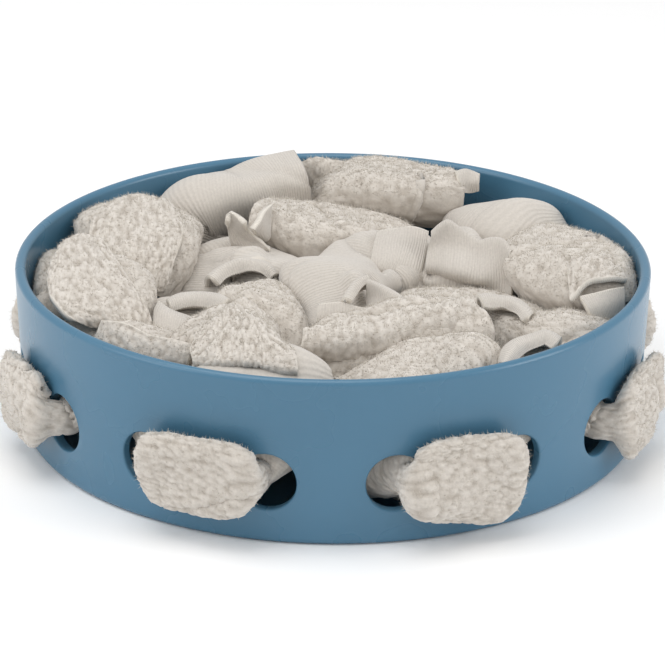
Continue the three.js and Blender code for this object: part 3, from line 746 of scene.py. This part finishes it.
def ripples(s, v, wavelengths, count, seed):
    """Smooth random hills of about unit height: cosines in random directions over the cloth."""
    rng = np.random.default_rng(seed)
    total = np.zeros_like(s)
    for _ in range(count):
        length = rng.uniform(*wavelengths)
        heading = rng.uniform(0, math.tau)
        total += np.cos((s * math.cos(heading) + v * math.sin(heading)) * math.tau / length
                        + rng.uniform(0, math.tau))
    return total / math.sqrt(count)


def creases(s, v, wavelengths, seed):
    """Narrow soft furrows, 1 along their bottoms and 0 between: where smooth random hills cross zero."""
    level = ripples(s, v, wavelengths, CREASE_COUNT, seed)
    slope = math.tau / np.mean(wavelengths)
    return np.exp(-(level / (slope * CREASE_HALF_WIDTH)) ** 2)


def curls(s, v, size, seed, cells=61):
    """Curls of the pile, 0 in the furrows and up to 1 on top: a round dome about each of many
    jittered points, one to a square of the given size."""
    rng = np.random.default_rng(seed)
    jitter = rng.random((cells, cells, 3))
    a, b = s / size, v / size
    ia, ib = np.floor(a).astype(int), np.floor(b).astype(int)
    near = np.full(a.shape, FAR)
    tall = np.zeros(a.shape)
    for da in (-1, 0, 1):
        for db in (-1, 0, 1):
            cell = jitter[(ia + da) % cells, (ib + db) % cells]
            away = np.hypot(ia + da + cell[..., 0] - a, ib + db + cell[..., 1] - b)
            tall = np.where(away < near, cell[..., 2], tall)
            near = np.minimum(near, away)
    return np.clip(1 - (near / CURL_REACH) ** 2, 0, 1) * (1 - CURL_UNEVEN + CURL_UNEVEN * tall)


def grid_normals(grid):
    """Unit normals of a grid of points, from the cross product of its two directions."""
    along = np.gradient(grid, axis=0)
    across = np.gradient(grid, axis=1)
    normal = np.cross(across, along)
    return normal / np.maximum(np.linalg.norm(normal, axis=2, keepdims=True), 1e-12)


def laid_balls(strips):
    """Centres, radii, strip numbers and run lengths of balls that stand for all the sections."""
    found = []
    for number, (rings, _) in enumerate(strips, start=1):
        side = sideways(directions(rings[:, :3]))
        radius = np.minimum(rings[:, 3], rings[:, 4]) / 2
        offset = np.maximum(rings[:, 3] - rings[:, 4], 0) / 2
        run = np.concatenate([[0], np.cumsum(np.linalg.norm(np.diff(rings[:, :3], axis=0), axis=1))])
        for share in (-1, 0, 1):
            centre = rings[:, :3] + side * (share * offset)[:, None]
            found.append(np.column_stack([centre, radius, np.full(len(rings), number), run]))
    return np.concatenate(found)


def room_beside(points, run, number, balls):
    """How far each point is from the other rolls and the wall, its own roll counted from afar."""
    flat = points.reshape(-1, 3)
    run = np.broadcast_to(run, points.shape[:2]).reshape(-1)
    away = np.linalg.norm(flat[:, None] - balls[:, :3], axis=2) - balls[:, 3]
    own = (balls[:, 4] == number) & (np.abs(run[:, None] - balls[:, 5]) < OWN_RUN)
    gap = np.where(own, FAR, away).min(axis=1)
    wall = INNER_RADIUS - 1 - np.hypot(flat[:, 0], flat[:, 1])
    inside = wall > -4
    gap = np.where(inside, np.minimum(gap, 2 * wall), 0)
    return gap.reshape(points.shape[:2])


def fuller(size, s, reach):
    """A size along a roll made blunter: at each place the largest within reach, less a round drop."""
    steps = int(reach / (s[1] - s[0]))
    padded = np.pad(size, steps, mode="edge")
    best = size.copy()
    for k in range(-steps, steps + 1):
        share = math.sqrt(1 - (k / (steps + 1)) ** 2)
        moved = padded[steps + k:steps + k + len(size)]
        best = np.maximum(best, moved * (1 - END_DROP + END_DROP * share))
    return best


def squared(wave, power):
    """A sine or cosine with blunter tops, which makes a circle a rounded square."""
    return np.sign(wave) * np.abs(wave) ** power


def swayed(points, amount):
    """Moves points inside the bowl by smooth waves in space, the same for all cloth, so that rolls
    which lie against each other bend together."""
    rng = np.random.default_rng(SWAY_SEED)
    shift = np.zeros_like(points)
    for _ in range(SWAY_COUNT):
        heading = rng.normal(size=3)
        heading *= math.tau / rng.uniform(*SWAY_WAVES) / np.linalg.norm(heading)
        wave = np.sin(points @ heading + rng.uniform(0, math.tau))
        shift += wave[..., None] * rng.normal(size=3) / math.sqrt(SWAY_COUNT)
    to_wall = INNER_RADIUS - np.hypot(points[..., 0], points[..., 1])
    free = smoothstep(to_wall, SWAY_FROM, SWAY_FULL)
    return points + shift * (amount * free)[..., None] * [1, 1, 0.6]


def filled(middle, normal, run, number, balls, most):
    """Widens a roll sideways into half the room beside it, at most so far, as packed rolls do."""
    rows = np.linspace(0, len(middle) - 1, max(len(middle) // FILL_ROWS, 4))
    columns = np.linspace(0, middle.shape[1] - 1, FILL_COLUMNS)
    pick = np.ix_(np.round(rows).astype(int), np.round(columns).astype(int))
    gap = room_beside(middle[pick], run[np.round(rows).astype(int)], number, balls)
    level = np.hypot(normal[..., 0], normal[..., 1])[pick]
    push = np.clip(gap / 2 - FILL_ROOM, -MOST_SQUEEZE, most)
    push = np.where(push > 0, push * smoothstep(level, 0.15, 0.8), push)
    for _ in range(2):
        push[1:-1] = (push[:-2] + 2 * push[1:-1] + push[2:]) / 4
        push[:, 1:-1] = (push[:, :-2] + 2 * push[:, 1:-1] + push[:, 2:]) / 4
    push = blend(push, np.linspace(0, len(rows) - 1, len(middle)))
    push = blend(push.T.copy(), np.linspace(0, len(columns) - 1, middle.shape[1])).T
    return middle + normal * push[..., None] * [1, 1, 0.4]


def within_wall(middle, centres, room):
    """Draws rings that lie in the bowl back to its wall where they would reach into it, and leaves
    those at the holes as they are: the radius is at most the wall's inner one less the room."""
    out = np.hypot(middle[..., 0], middle[..., 1])
    most = wall_radius(middle[..., 2]) - WALL_THICKNESS - room
    in_bowl = np.hypot(centres[:, 0], centres[:, 1]) < INNER_RADIUS - NEAR_HOLE
    share = np.where(in_bowl[:, None], np.minimum(most / out, 1), 1)
    return middle * np.stack([share, share, np.ones_like(share)], axis=-1)


def coiled(fine, s, u, fleece):
    """The middle surface of a strip: an open oval carried along the route, whose angle is the slit's
    plus the wrap's share u, and which is drawn inwards with u where it is wound past a full turn.
    Also how loose each section is, 0 in a hole and 1 in the bowl."""
    wide, high, slit, wrap, thick = fine.T[3:]
    forward = directions(fine[:, :3])
    side = sideways(forward)
    up = np.cross(side, forward)
    angle = np.radians(slit[:, None] + 180 + wrap[:, None] * (u - 0.5))
    winding = smoothstep(wrap, WINDING_FROM, WINDING_TO) * (thick + WINDING_GAP)
    inward = winding[:, None] * wrap[:, None] * u / 360
    loose = smoothstep(thick, LOOSE_FROM, LOOSE_FULL)
    to_wall = INNER_RADIUS - np.hypot(fine[:, 0], fine[:, 1])
    inside = loose * smoothstep(to_wall, IN_BOWL_FROM, IN_BOWL_FULL)
    wide, high = (size + inside * (fuller(size, s, fleece.fullness) - size) for size in (wide, high))
    square = 1 - SQUARENESS * inside[:, None]
    oval_x = ((wide - thick)[:, None] / 2 - inward) * squared(np.sin(angle), square)
    oval_z = ((high - thick)[:, None] / 2 - inward) * squared(np.cos(angle), square)
    middle = fine[:, None, :3] + oval_x[..., None] * side[:, None] + oval_z[..., None] * up[:, None]
    return middle, loose[:, None]


def strip_mesh(number, rings, knit, balls, fleece):
    """A strip as a closed sheet, and its length. Both faces lie half the sheet's thickness from the
    coiled middle surface, which has soft hills, furrows, the strip's folds and its laid edges, and
    the pile's curls stand on the face that has them."""
    run = np.concatenate([[0], np.cumsum(np.linalg.norm(np.diff(rings[:, :3], axis=0), axis=1))])
    length = run[-1]
    along = np.linspace(0, length, int(length / fleece.grid_spacing) + 1)
    places = np.interp(along, run, np.arange(len(run)))
    fine = blend(rings, places)
    half_thick = fine[:, -1:] / 2
    knit = np.clip(np.interp(places, np.arange(len(run)), knit), 0, 1)[:, None]
    u = np.linspace(0, 1, 3 * int(FLAT_WIDTH / fleece.grid_spacing / 3) + 1)[None, :]
    middle, loose = coiled(fine, along, u, fleece)
    s, v = np.broadcast_arrays(along[:, None], u * FLAT_WIDTH)

    # Soft hills over the whole sheet, calmer where it is drawn through a hole
    hills = fleece.hill_height * loose * ripples(s, v, HILL_WAVES, HILL_COUNT, HILL_SEED + number)
    middle = filled(middle, grid_normals(middle), along[:, None], number, balls, fleece.fill)
    furrows = creases(s, v, CREASE_WAVES, CREASE_SEED + number)
    furrows = furrows * smoothstep(ripples(s, v, BREAK_WAVES, BREAK_COUNT, BREAK_SEED + number), -0.4, 0.6)
    normal = grid_normals(middle)
    middle = middle + normal * (hills - fleece.crease_depth * loose * furrows)[..., None]
    middle = swayed(middle, fleece.sway)
    trim = np.zeros(middle.shape[:2])
    for strip, x0, y0, x1, y1, half, rise in FOLDS:
        if strip == number:
            middle = folded(middle, normal, (x0, y0), (x1, y1), half, rise)
    for strip, x0, y0, x1, y1, high, reach in EDGES:
        if strip == number:
            middle, line = layered(middle, normal, (x0, y0), (x1, y1), high, reach)
            trim = np.maximum(trim, line)
    middle = within_wall(middle, fine, half_thick + fleece.curl_height / 2 + CLEARANCE)

    normal = grid_normals(middle)
    curl = curls(s, v, fleece.curl_size, CURL_SEED + number)
    small = curls(s + 300, v, fleece.curl_size * SMALL_CURL_SIZE, SMALL_CURL_SEED + number)
    height = (1 - SMALL_CURL_SHARE) * curl + SMALL_CURL_SHARE * small
    curled = fleece.curl_height * (height - 0.5)
    outer = middle + normal * (half_thick + (1 - knit) * curled)[..., None]
    inner = middle - normal * (half_thick + knit * curled)[..., None]
    return closed_sheet(outer, inner[:, ::3], s, v, height, knit, trim), length


def closed_sheet(outer, inner, s, v, height, knit, trim):
    """A sheet of two faces as one shell: each row is a loop out over the outer face, round the cut
    edge and back along the inner one, which has every third column, and a cap closes each end."""
    loop = np.concatenate([outer, inner[:, ::-1]], axis=1)
    rows, around_loop = loop.shape[:2]
    columns = outer.shape[1] - 1
    faces = grid_faces(rows, around_loop, closed=True)
    tris = np.concatenate([faces[:, [0, 1, 2]], faces[:, [0, 2, 3]]])
    tris = np.concatenate([tris, cap(columns, 0, False), cap(columns, (rows - 1) * around_loop, True)])

    def both(out, back):
        """One number a point, from those of the outer face and those of the inner one."""
        out, back = (np.broadcast_to(values, outer.shape[:2]) for values in (out, back))
        return np.concatenate([out, back[:, ::3][:, ::-1]], axis=1)

    return {
        "points": loop.reshape(-1, 3) * MM,
        "faces": tris,
        "knit": both(knit, 1 - knit).ravel(),
        # How far down between the curls a point lies, which sets the painted shade there
        "deep": both(1 - height, 1 - height).ravel(),
        "trim": both(trim, trim).ravel(),
        "cloth": np.stack([both(s, s), both(v, v)], axis=-1).reshape(-1, 2) * MM * 10,
    }


def joined(sheets):
    """Several shells as one mesh."""
    starts = np.cumsum([0] + [len(sheet["points"]) for sheet in sheets[:-1]])
    mesh = {name: np.concatenate([sheet[name] for sheet in sheets]) for name in sheets[0]}
    mesh["faces"] = np.concatenate([sheet["faces"] + start for sheet, start in zip(sheets, starts)])
    return mesh


def laid_fold(lines, knit, over, under, fleece, seed):
    """A laid fold: a smooth surface through its lines of points, from its last line up to its
    first. The first may roll over behind and the last tuck under, and other edges are cut ones."""
    most = max(len(line) for line in lines)
    net = np.array([blend(np.array(line, float), np.linspace(0, len(line) - 1, most)) for line in lines])
    if over:
        net = np.concatenate([net[:1] + OVER_BEHIND, net])
    if under:
        net = np.concatenate([net, net[-1:] + TUCKED_UNDER])
    net = net[::-1]
    tall = np.linalg.norm(np.diff(net, axis=0), axis=2).sum(axis=0).max()
    broad = np.linalg.norm(np.diff(net, axis=1), axis=2).sum(axis=1).max()
    rows = max(int(tall / fleece.grid_spacing), 6)
    columns = 3 * max(int(broad / fleece.grid_spacing / 3), 2)
    grid = blend(net.reshape(len(net), -1), np.linspace(0, len(net) - 1, rows + 1))
    grid = grid.reshape(rows + 1, -1, 3).transpose(1, 0, 2)
    grid = blend(grid.reshape(len(grid), -1), np.linspace(0, len(grid) - 1, columns + 1))
    middle = grid.reshape(columns + 1, rows + 1, 3).transpose(1, 0, 2)
    s, v = np.meshgrid(np.linspace(0, tall, rows + 1), np.linspace(0, broad, columns + 1), indexing="ij")
    normal = grid_normals(middle)
    middle = middle + normal * (FOLD_RIPPLE * ripples(s, v, FOLD_WAVES, FOLD_COUNT, seed))[..., None]
    edge = np.minimum(v, broad - v)
    if not over:
        edge = np.minimum(edge, tall - s)
    if not under:
        edge = np.minimum(edge, s)
    curl = curls(s, v, fleece.curl_size, seed)
    half = FOLD_SHEET / 2
    calm = smoothstep(edge, TRIM_FULL, CALM_END)
    outer = middle + normal * (half + (1 - knit) * calm * fleece.curl_height * (curl - 0.5))[..., None]
    inner = middle - normal * half
    # Painted highlight: full along the cut edges and fading a little way in
    trim = 1 - smoothstep(edge, TRIM_FULL, TRIM_END)
    return closed_sheet(outer, inner[:, ::3], v, s, curl, knit + 0 * s, trim)


def cap(columns, start, end):
    """Triangles that close a row's loop between its outer and its inner points, three to one."""
    outer_index = np.arange(columns)
    inner_count = columns // 3
    inner_index = np.arange(inner_count)
    inner_points = start + columns + 1 + inner_count - np.arange(inner_count + 1)
    nearest = inner_points[(outer_index + 1) // 3]
    fan = np.stack([start + outer_index, start + outer_index + 1, nearest], axis=1)
    steps = np.stack([inner_points[:-1], start + 3 * inner_index + 2, inner_points[1:]], axis=1)
    tris = np.concatenate([fan, steps])
    return tris if end else tris[:, ::-1]


def beside(middle, start, end):
    """How far points lie to the left of a line in the plan, and how far past its ends, as a share."""
    a, b = np.array(start, float), np.array(end, float)
    line = b - a
    place = middle[..., :2] - a
    along = place @ line / (line @ line)
    left = (place[..., 1] * line[0] - place[..., 0] * line[1]) / np.linalg.norm(line)
    return left, np.abs(along - 0.5) - 0.5


def folded(middle, normal, start, end, half, rise):
    """Lifts the cloth along a line in the plan by a bell of that half width, on faces that look up."""
    left, past = beside(middle, start, end)
    fade = 1 - smoothstep(past, -0.15, 0.15)
    lift = rise * np.exp(-(left / half) ** 2) * fade * smoothstep(normal[..., 2], 0.0, 0.6)
    return middle + lift[..., None] * [0, 0, 1]


def layered(middle, normal, start, end, high, reach):
    """Lifts the cloth to the left of a line in the plan as a layer whose cut edge is that line."""
    left, past = beside(middle, start, end)
    fade = (1 - smoothstep(past, -0.12, 0.1)) * smoothstep(normal[..., 2], -0.1, 0.5)
    step = smoothstep(left, 0, EDGE_STEP) * np.exp(-np.maximum(left, 0) / reach)
    # A band just past the step, which the material lightens as a painted highlight along the cut edge
    trim = np.exp(-((left - EDGE_STEP) / EDGE_BLUR) ** 2) * fade
    return middle + (high * step * fade)[..., None] * [0, 0, 1], trim


def fuzz(cloth, count, seed):
    """Loose fibres of the pile: thin three-sided spikes at random places on the faces that have the
    pile outside, more or less upright on them."""
    rng = np.random.default_rng(seed)
    corners = cloth["points"][cloth["faces"]] / MM
    normal = np.cross(corners[:, 1] - corners[:, 0], corners[:, 2] - corners[:, 0])
    area = np.linalg.norm(normal, axis=1)
    normal /= np.maximum(area, 1e-9)[:, None]
    most = np.maximum(cloth["knit"], cloth["trim"])[cloth["faces"]].max(axis=1)
    middle = corners.mean(axis=1)
    outside = np.hypot(middle[:, 0], middle[:, 1]) > RIM_RADIUS + FIBRES_OUTSIDE
    high = smoothstep(middle[:, 2], FIBRES_FROM, FIBRES_FULL) + 0.5 * outside
    weight = area * (most < 0.5) * high * smoothstep(normal[:, 2] + 0.6 * outside, -0.1, 0.5)
    chosen = rng.choice(len(area), count, p=weight / weight.sum())
    share = rng.dirichlet((1, 1, 1), count)
    foot = np.einsum("ij,ijk->ik", share, corners[chosen])
    lean = rng.normal(size=(count, 3)) * FIBRE_LEAN
    tip_way = normal[chosen] + lean
    tip_way /= np.linalg.norm(tip_way, axis=1, keepdims=True)
    length = rng.uniform(*FIBRE_LENGTH, (count, 1))
    side = np.cross(tip_way, rng.normal(size=(count, 3)))
    side /= np.linalg.norm(side, axis=1, keepdims=True)
    other = np.cross(tip_way, side)
    turns = np.radians([0, 120, 240])
    ring = [foot + (side * math.cos(turn) + other * math.sin(turn)) * FIBRE_WIDTH / 2 for turn in turns]
    points = np.stack(ring + [foot + tip_way * length], axis=1)
    spike = np.array([[0, 2, 1], [0, 1, 3], [1, 2, 3], [2, 0, 3]])
    faces = (np.arange(count)[:, None, None] * 4 + spike).reshape(-1, 3)
    return points.reshape(-1, 3) * MM, faces


# Materials

def add_node(tree, kind, links=(), **settings):
    """Adds a node, sets its fields and, by name or number in sockets, its inputs, and links it."""
    node = tree.nodes.new(kind)
    for socket, value in settings.pop("sockets", {}).items():
        node.inputs[socket].default_value = value
    for name, value in settings.items():
        setattr(node, name, value)
    for socket, source in dict(links).items():
        tree.links.new(source, node.inputs[socket])
    return node


def new_material(name):
    """An empty node material with its shader and output."""
    material = bpy.data.materials.new(name)
    material.use_nodes = True
    tree = material.node_tree
    tree.nodes.clear()
    shader = tree.nodes.new("ShaderNodeBsdfPrincipled")
    output = tree.nodes.new("ShaderNodeOutputMaterial")
    tree.links.new(shader.outputs["BSDF"], output.inputs["Surface"])
    return material, tree, shader


def shade(colour, brightness=1.0):
    """A colour made brighter or darker, as the four numbers of a socket."""
    return (*[c * brightness for c in colour], 1)


def mottled(tree, shader, colour, scale, low, high, detail=2.0):
    """Gives the shader a colour that drifts softly between two brightnesses, by noise in the
    object's space, and returns that space and the noise."""
    place = add_node(tree, "ShaderNodeTexCoord").outputs["Object"]
    noise = add_node(tree, "ShaderNodeTexNoise", {"Vector": place},
                     sockets={"Scale": scale, "Detail": detail})
    cloudy = noise.outputs["Fac"]
    tint = add_node(tree, "ShaderNodeMixRGB", {"Fac": cloudy},
                    sockets={"Color1": shade(colour, low), "Color2": shade(colour, high)})
    tree.links.new(tint.outputs["Color"], shader.inputs["Base Color"])
    return place, cloudy


def moulded_polypropylene(colour):
    """Injection-moulded polypropylene: satin, with a fine matt grain and a faint sheen unevenness."""
    material, tree, shader = new_material("moulded_polypropylene")
    shader.inputs["IOR"].default_value = 1.49
    place, cloudy = mottled(tree, shader, colour, 22.0, 0.94, 1.05, detail=3.0)
    gloss = add_node(tree, "ShaderNodeMapRange", {"Value": cloudy},
                     sockets={"To Min": 0.24, "To Max": 0.31})
    tree.links.new(gloss.outputs["Result"], shader.inputs["Roughness"])
    # The grain is coarser than the real one so that it shows
    grain = add_node(tree, "ShaderNodeTexNoise", {"Vector": place},
                     sockets={"Scale": 1 / (GRAIN_SPACING * MM)})
    bump = add_node(tree, "ShaderNodeBump", {"Height": grain.outputs["Fac"]},
                    sockets={"Strength": 0.05, "Distance": 0.0002})
    tree.links.new(bump.outputs["Normal"], shader.inputs["Normal"])
    return material


def teddy_fleece(pile_colour, knit_colour, painted_furrow_shade, fibre_and_edge_highlight_colour):
    """Polyester teddy fleece: curly pile on one side, brushed warp knit with fine wales on the other.
    The attribute knit chooses the side, deep tells how far down between the curls a point is for the
    painted shade there, and trim is 1 along the cut edges, which a painted highlight makes a little
    lighter."""
    material, tree, shader = new_material("teddy_fleece")
    shader.inputs["Roughness"].default_value = 0.92
    shader.inputs["Sheen Weight"].default_value = 0.35
    shader.inputs["Sheen Roughness"].default_value = 0.6
    shader.inputs["Specular IOR Level"].default_value = 0.15
    place = add_node(tree, "ShaderNodeTexCoord").outputs["Object"]
    cloth = add_node(tree, "ShaderNodeUVMap", uv_map="cloth").outputs["UV"]
    knit, deep, trim = (add_node(tree, "ShaderNodeAttribute", attribute_name=name).outputs["Fac"]
                        for name in ("knit", "deep", "trim"))

    # Pile: painted shade darkens it between the curls
    shade_between_curls = add_node(tree, "ShaderNodeMapRange", {"Value": deep},
                      sockets={"From Min": 0.15, "From Max": 0.85}).outputs["Result"]
    pile = add_node(tree, "ShaderNodeMixRGB", {"Fac": shade_between_curls},
                    sockets={"Color1": shade(pile_colour), "Color2": shade(painted_furrow_shade)}).outputs["Color"]

    # Knit: wales across the strip. The map's unit is 100 mm, and a wave is tau / 20 of it at scale 1.
    waves = math.tau / 20 * 100 / WALE_SPACING
    wales = add_node(tree, "ShaderNodeTexWave", {"Vector": cloth}, wave_type="BANDS", bands_direction="X",
                     sockets={"Scale": waves, "Distortion": 1.2, "Detail": 2.0, "Detail Scale": 2.0})
    ribbed = add_node(tree, "ShaderNodeMixRGB", {"Fac": wales.outputs["Fac"]},
                      sockets={"Color1": shade(knit_colour, 0.95), "Color2": shade(knit_colour)})

    # Both sides, a painted highlight along their cut edges, and a speckle of single fibres over all
    sides = add_node(tree, "ShaderNodeMixRGB",
                     {"Fac": knit, "Color1": pile, "Color2": ribbed.outputs["Color"]})
    edge_highlighted = add_node(tree, "ShaderNodeMixRGB", {"Fac": trim, "Color1": sides.outputs["Color"]},
                     sockets={"Color2": shade(fibre_and_edge_highlight_colour)})
    fibres = add_node(tree, "ShaderNodeTexNoise", {"Vector": place},
                      sockets={"Scale": 1 / (SPECKLE_SPACING * MM), "Detail": 4.0, "Roughness": 0.65})
    speckle = add_node(tree, "ShaderNodeMapRange", {"Value": fibres.outputs["Fac"]},
                       sockets={"From Min": 0.3, "From Max": 0.7, "To Min": 0.9, "To Max": 1.05})
    tint = add_node(tree, "ShaderNodeMixRGB",
                    {"Color1": edge_highlighted.outputs["Color"], "Color2": speckle.outputs["Result"]},
                    blend_type="MULTIPLY", sockets={"Fac": 1.0})
    tree.links.new(tint.outputs["Color"], shader.inputs["Base Color"])
    relief = add_node(tree, "ShaderNodeMixRGB",
                      {"Fac": knit, "Color1": fibres.outputs["Fac"], "Color2": wales.outputs["Fac"]})
    bump = add_node(tree, "ShaderNodeBump", {"Height": relief.outputs["Color"]},
                    sockets={"Strength": 0.5, "Distance": 0.0004})
    tree.links.new(bump.outputs["Normal"], shader.inputs["Normal"])
    return material


def loose_fibres(colour):
    """Single polyester fibres that stand out of the pile: light, matt, a little uneven in colour."""
    material, tree, shader = new_material("loose_polyester_fibres")
    shader.inputs["Roughness"].default_value = 0.9
    shader.inputs["Specular IOR Level"].default_value = 0.1
    mottled(tree, shader, colour, 90.0, 0.9, 1.0)
    return material


def painted_floor(colour):
    """A painted studio floor: matt, with the faintest mottling."""
    material, tree, shader = new_material("painted_floor")
    shader.inputs["Roughness"].default_value = 0.8
    mottled(tree, shader, colour, 3.0, 1.0, 0.985)
    return material


# Settings

class BowlSettings(bpy.types.PropertyGroup):
    hole_diameter: FloatProperty(
        name="Hole diameter", description="Width of the sixteen holes",
        default=2 * HOLE_RADIUS * MM, unit="LENGTH")
    colour: FloatVectorProperty(
        name="Colour", description="Colour of the plastic",
        default=linear("#4a7691"), size=3, subtype="COLOR")


class FleeceSettings(bpy.types.PropertyGroup):
    grid_spacing: FloatProperty(
        name="Grid spacing", description="Distance of the mesh's rows, in millimetres", default=1.05)
    curl_size: FloatProperty(
        name="Curl size", description="Width of a curl of the pile, in millimetres", default=3.4)
    curl_height: FloatProperty(
        name="Curl height", description="Height of a curl of the pile, in millimetres", default=1.2)
    hill_height: FloatProperty(
        name="Hill height", description="Height of the sheet's soft hills, in millimetres", default=1.3)
    crease_depth: FloatProperty(
        name="Crease depth", description="Depth of the soft creases, in millimetres", default=2.2)
    fibre_count: IntProperty(
        name="Fibres", description="Loose fibres on each strip", default=8500)
    fullness: FloatProperty(
        name="Fullness", description="How blunt a roll's ends are, in millimetres", default=9.0)
    sway: FloatProperty(
        name="Sway", description="How far the rolls bend out of line together, in millimetres", default=3.0)
    fill: FloatProperty(
        name="Fill", description="How far a roll widens into the room beside it, in millimetres",
        default=9.0)
    pile_colour: FloatVectorProperty(
        name="Pile colour", description="Colour of the curls",
        default=linear("#d6cfc6"), size=3, subtype="COLOR")
    # Painted shade: the colour that the pile is darkened to deep between its curls
    painted_furrow_shade: FloatVectorProperty(
        name="Painted furrow shade", description="Colour between the curls",
        default=linear("#b5aca1"), size=3, subtype="COLOR")
    # Own colour of the loose fibres, also used as the painted highlight along the cut edges
    fibre_and_edge_highlight_colour: FloatVectorProperty(
        name="Fibre and edge highlight colour", description="Colour of the cut edges and the loose fibres",
        default=linear("#ddd6cb"), size=3, subtype="COLOR")
    knit_colour: FloatVectorProperty(
        name="Knit colour", description="Colour of the knit side",
        default=linear("#cbc4bb"), size=3, subtype="COLOR")


class StageSettings(bpy.types.PropertyGroup):
    floor_colour: FloatVectorProperty(
        name="Floor colour", description="Colour of the floor",
        default=linear("#fcfcfc"), size=3, subtype="COLOR")
    floor_size: FloatProperty(
        name="Floor size", description="Side of the floor", default=12.0, unit="LENGTH")
    room_light: FloatProperty(
        name="Room light", description="Strength of the light from all sides", default=0.66)
    camera_distance: FloatProperty(
        name="Camera distance", description="From the camera to the middle of the rim",
        default=1.5486, unit="LENGTH")
    camera_height: FloatProperty(
        name="Camera height", description="Angle of the camera above the rim",
        default=math.radians(21.15), unit="ROTATION")


# Operators

class OBJECT_OT_snuffle_bowl(bpy.types.Operator):
    """Builds the moulded bowl with its holes"""
    bl_idname = "object.snuffle_bowl_body"
    bl_label = "Bowl"

    def execute(self, context):
        settings = context.scene.bowl_settings
        material = moulded_polypropylene(settings.colour)
        points, faces = bowl_mesh(settings.hole_diameter / MM / 2)
        bowl = new_object("moulded_bowl", points, faces, material)
        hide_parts("bowl")
        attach(bowl, "root")
        return {"FINISHED"}


class OBJECT_OT_snuffle_strips(bpy.types.Operator):
    """Lays the eight fleece strips through the holes and rolls their ends up in the bowl"""
    bl_idname = "object.snuffle_strips"
    bl_label = "Fleece strips"

    def execute(self, context):
        settings = context.scene.fleece_settings
        material = teddy_fleece(settings.pile_colour, settings.knit_colour, settings.painted_furrow_shade,
                                settings.fibre_and_edge_highlight_colour)
        fibre_material = loose_fibres(settings.fibre_and_edge_highlight_colour)
        strips = settle([laid_rings(strip) for strip in STRIPS])
        balls = laid_balls(strips)
        for number, (rings, knit) in enumerate(strips, start=1):
            sheet, length = strip_mesh(number, rings, knit, balls, settings)
            folds = [laid_fold(lines, knit_out, over, under, settings, FOLD_SEED + i)
                     for i, (owner, knit_out, over, under, lines) in enumerate(LAID_FOLDS)
                     if owner == number]
            cloth = joined([sheet] + folds)
            strip = new_object(f"fleece_strip_{number}", cloth["points"], cloth["faces"], material)
            for name in ("knit", "deep", "trim"):
                add_attribute(strip, name, cloth[name])
            add_uv(strip, "cloth", cloth["cloth"])
            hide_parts(f"strip_{number}")
            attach(strip, "root")
            points, faces = fuzz(cloth, settings.fibre_count, FIBRE_SEED + number)
            fibres = new_object(f"fleece_fibres_{number}", points, faces, fibre_material)
            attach(fibres, "root")
        return {"FINISHED"}


class OBJECT_OT_snuffle_stage(bpy.types.Operator):
    """Sets the floor, the soft lights and the camera"""
    bl_idname = "object.snuffle_stage"
    bl_label = "Stage"

    def execute(self, context):
        settings = context.scene.stage_settings
        half = settings.floor_size / 2
        corners = np.array([[-half, -half, 0], [half, -half, 0], [half, half, 0], [-half, half, 0]])
        floor = new_object("floor", corners, np.array([[0, 1, 2, 3]]), painted_floor(settings.floor_colour))

        world = bpy.data.worlds.new("studio")
        world.use_nodes = True
        background = world.node_tree.nodes["Background"]
        background.inputs["Color"].default_value = (1.0, 1.0, 1.0, 1)
        background.inputs["Strength"].default_value = settings.room_light
        context.scene.world = world
        context.scene.view_settings.view_transform = "Standard"

        aim = Vector((0, 0, LIGHTS_AIM * MM))
        for name, place, side, watts in SOFT_BOXES:
            light = bpy.data.lights.new(name, "AREA")
            light.energy = watts
            light.size = side
            box = bpy.data.objects.new(name, light)
            box.location = place
            box.rotation_euler = (aim - Vector(place)).to_track_quat("-Z", "Y").to_euler()
            context.scene.collection.objects.link(box)

        camera = bpy.data.objects.new("camera", bpy.data.cameras.new("camera"))
        camera.data.angle = 2 * math.atan(HALF_FRAME / FOCAL)
        camera.data.dof.use_dof = False
        camera.data.clip_start = 0.05
        height = settings.camera_height
        way = Vector((0, -math.cos(height), math.sin(height)))
        camera.location = Vector((0, 0, BOWL_HEIGHT * MM)) + settings.camera_distance * way
        pitch = math.atan((HALF_FRAME - RIM_ROW) / FOCAL)
        turn = Matrix.Rotation(math.pi / 2 - height - pitch, 4, "X") @ Matrix.Rotation(ROLL, 4, "Z")
        camera.rotation_euler = turn.to_euler()
        context.scene.collection.objects.link(camera)
        context.scene.camera = camera
        return {"FINISHED"}


class VIEW3D_PT_snuffle_bowl(bpy.types.Panel):
    """Lists the pieces and their settings"""
    bl_label = "Snuffle Bowl"
    bl_space_type = "VIEW_3D"
    bl_region_type = "UI"
    bl_category = "Snuffle Bowl"

    def draw(self, context):
        layout = self.layout
        for group, _ in SETTINGS:
            settings = getattr(context.scene, group)
            for name in settings.__annotations__:
                layout.prop(settings, name)
        for operator in OPERATORS:
            layout.operator(operator.bl_idname)


SETTINGS = (
    ("bowl_settings", BowlSettings), ("fleece_settings", FleeceSettings), ("stage_settings", StageSettings),
)
OPERATORS = (OBJECT_OT_snuffle_bowl, OBJECT_OT_snuffle_strips, OBJECT_OT_snuffle_stage)


def register():
    for name, group in SETTINGS:
        bpy.utils.register_class(group)
        setattr(bpy.types.Scene, name, PointerProperty(type=group))
    for operator in OPERATORS:
        bpy.utils.register_class(operator)
    bpy.utils.register_class(VIEW3D_PT_snuffle_bowl)


def unregister():
    bpy.utils.unregister_class(VIEW3D_PT_snuffle_bowl)
    for operator in reversed(OPERATORS):
        bpy.utils.unregister_class(operator)
    for name, group in reversed(SETTINGS):
        delattr(bpy.types.Scene, name)
        bpy.utils.unregister_class(group)


def main():
    register()
    bpy.ops.object.snuffle_bowl_body()
    bpy.ops.object.snuffle_strips()
    bpy.ops.object.snuffle_stage()


if __name__ == "__main__":
    main()
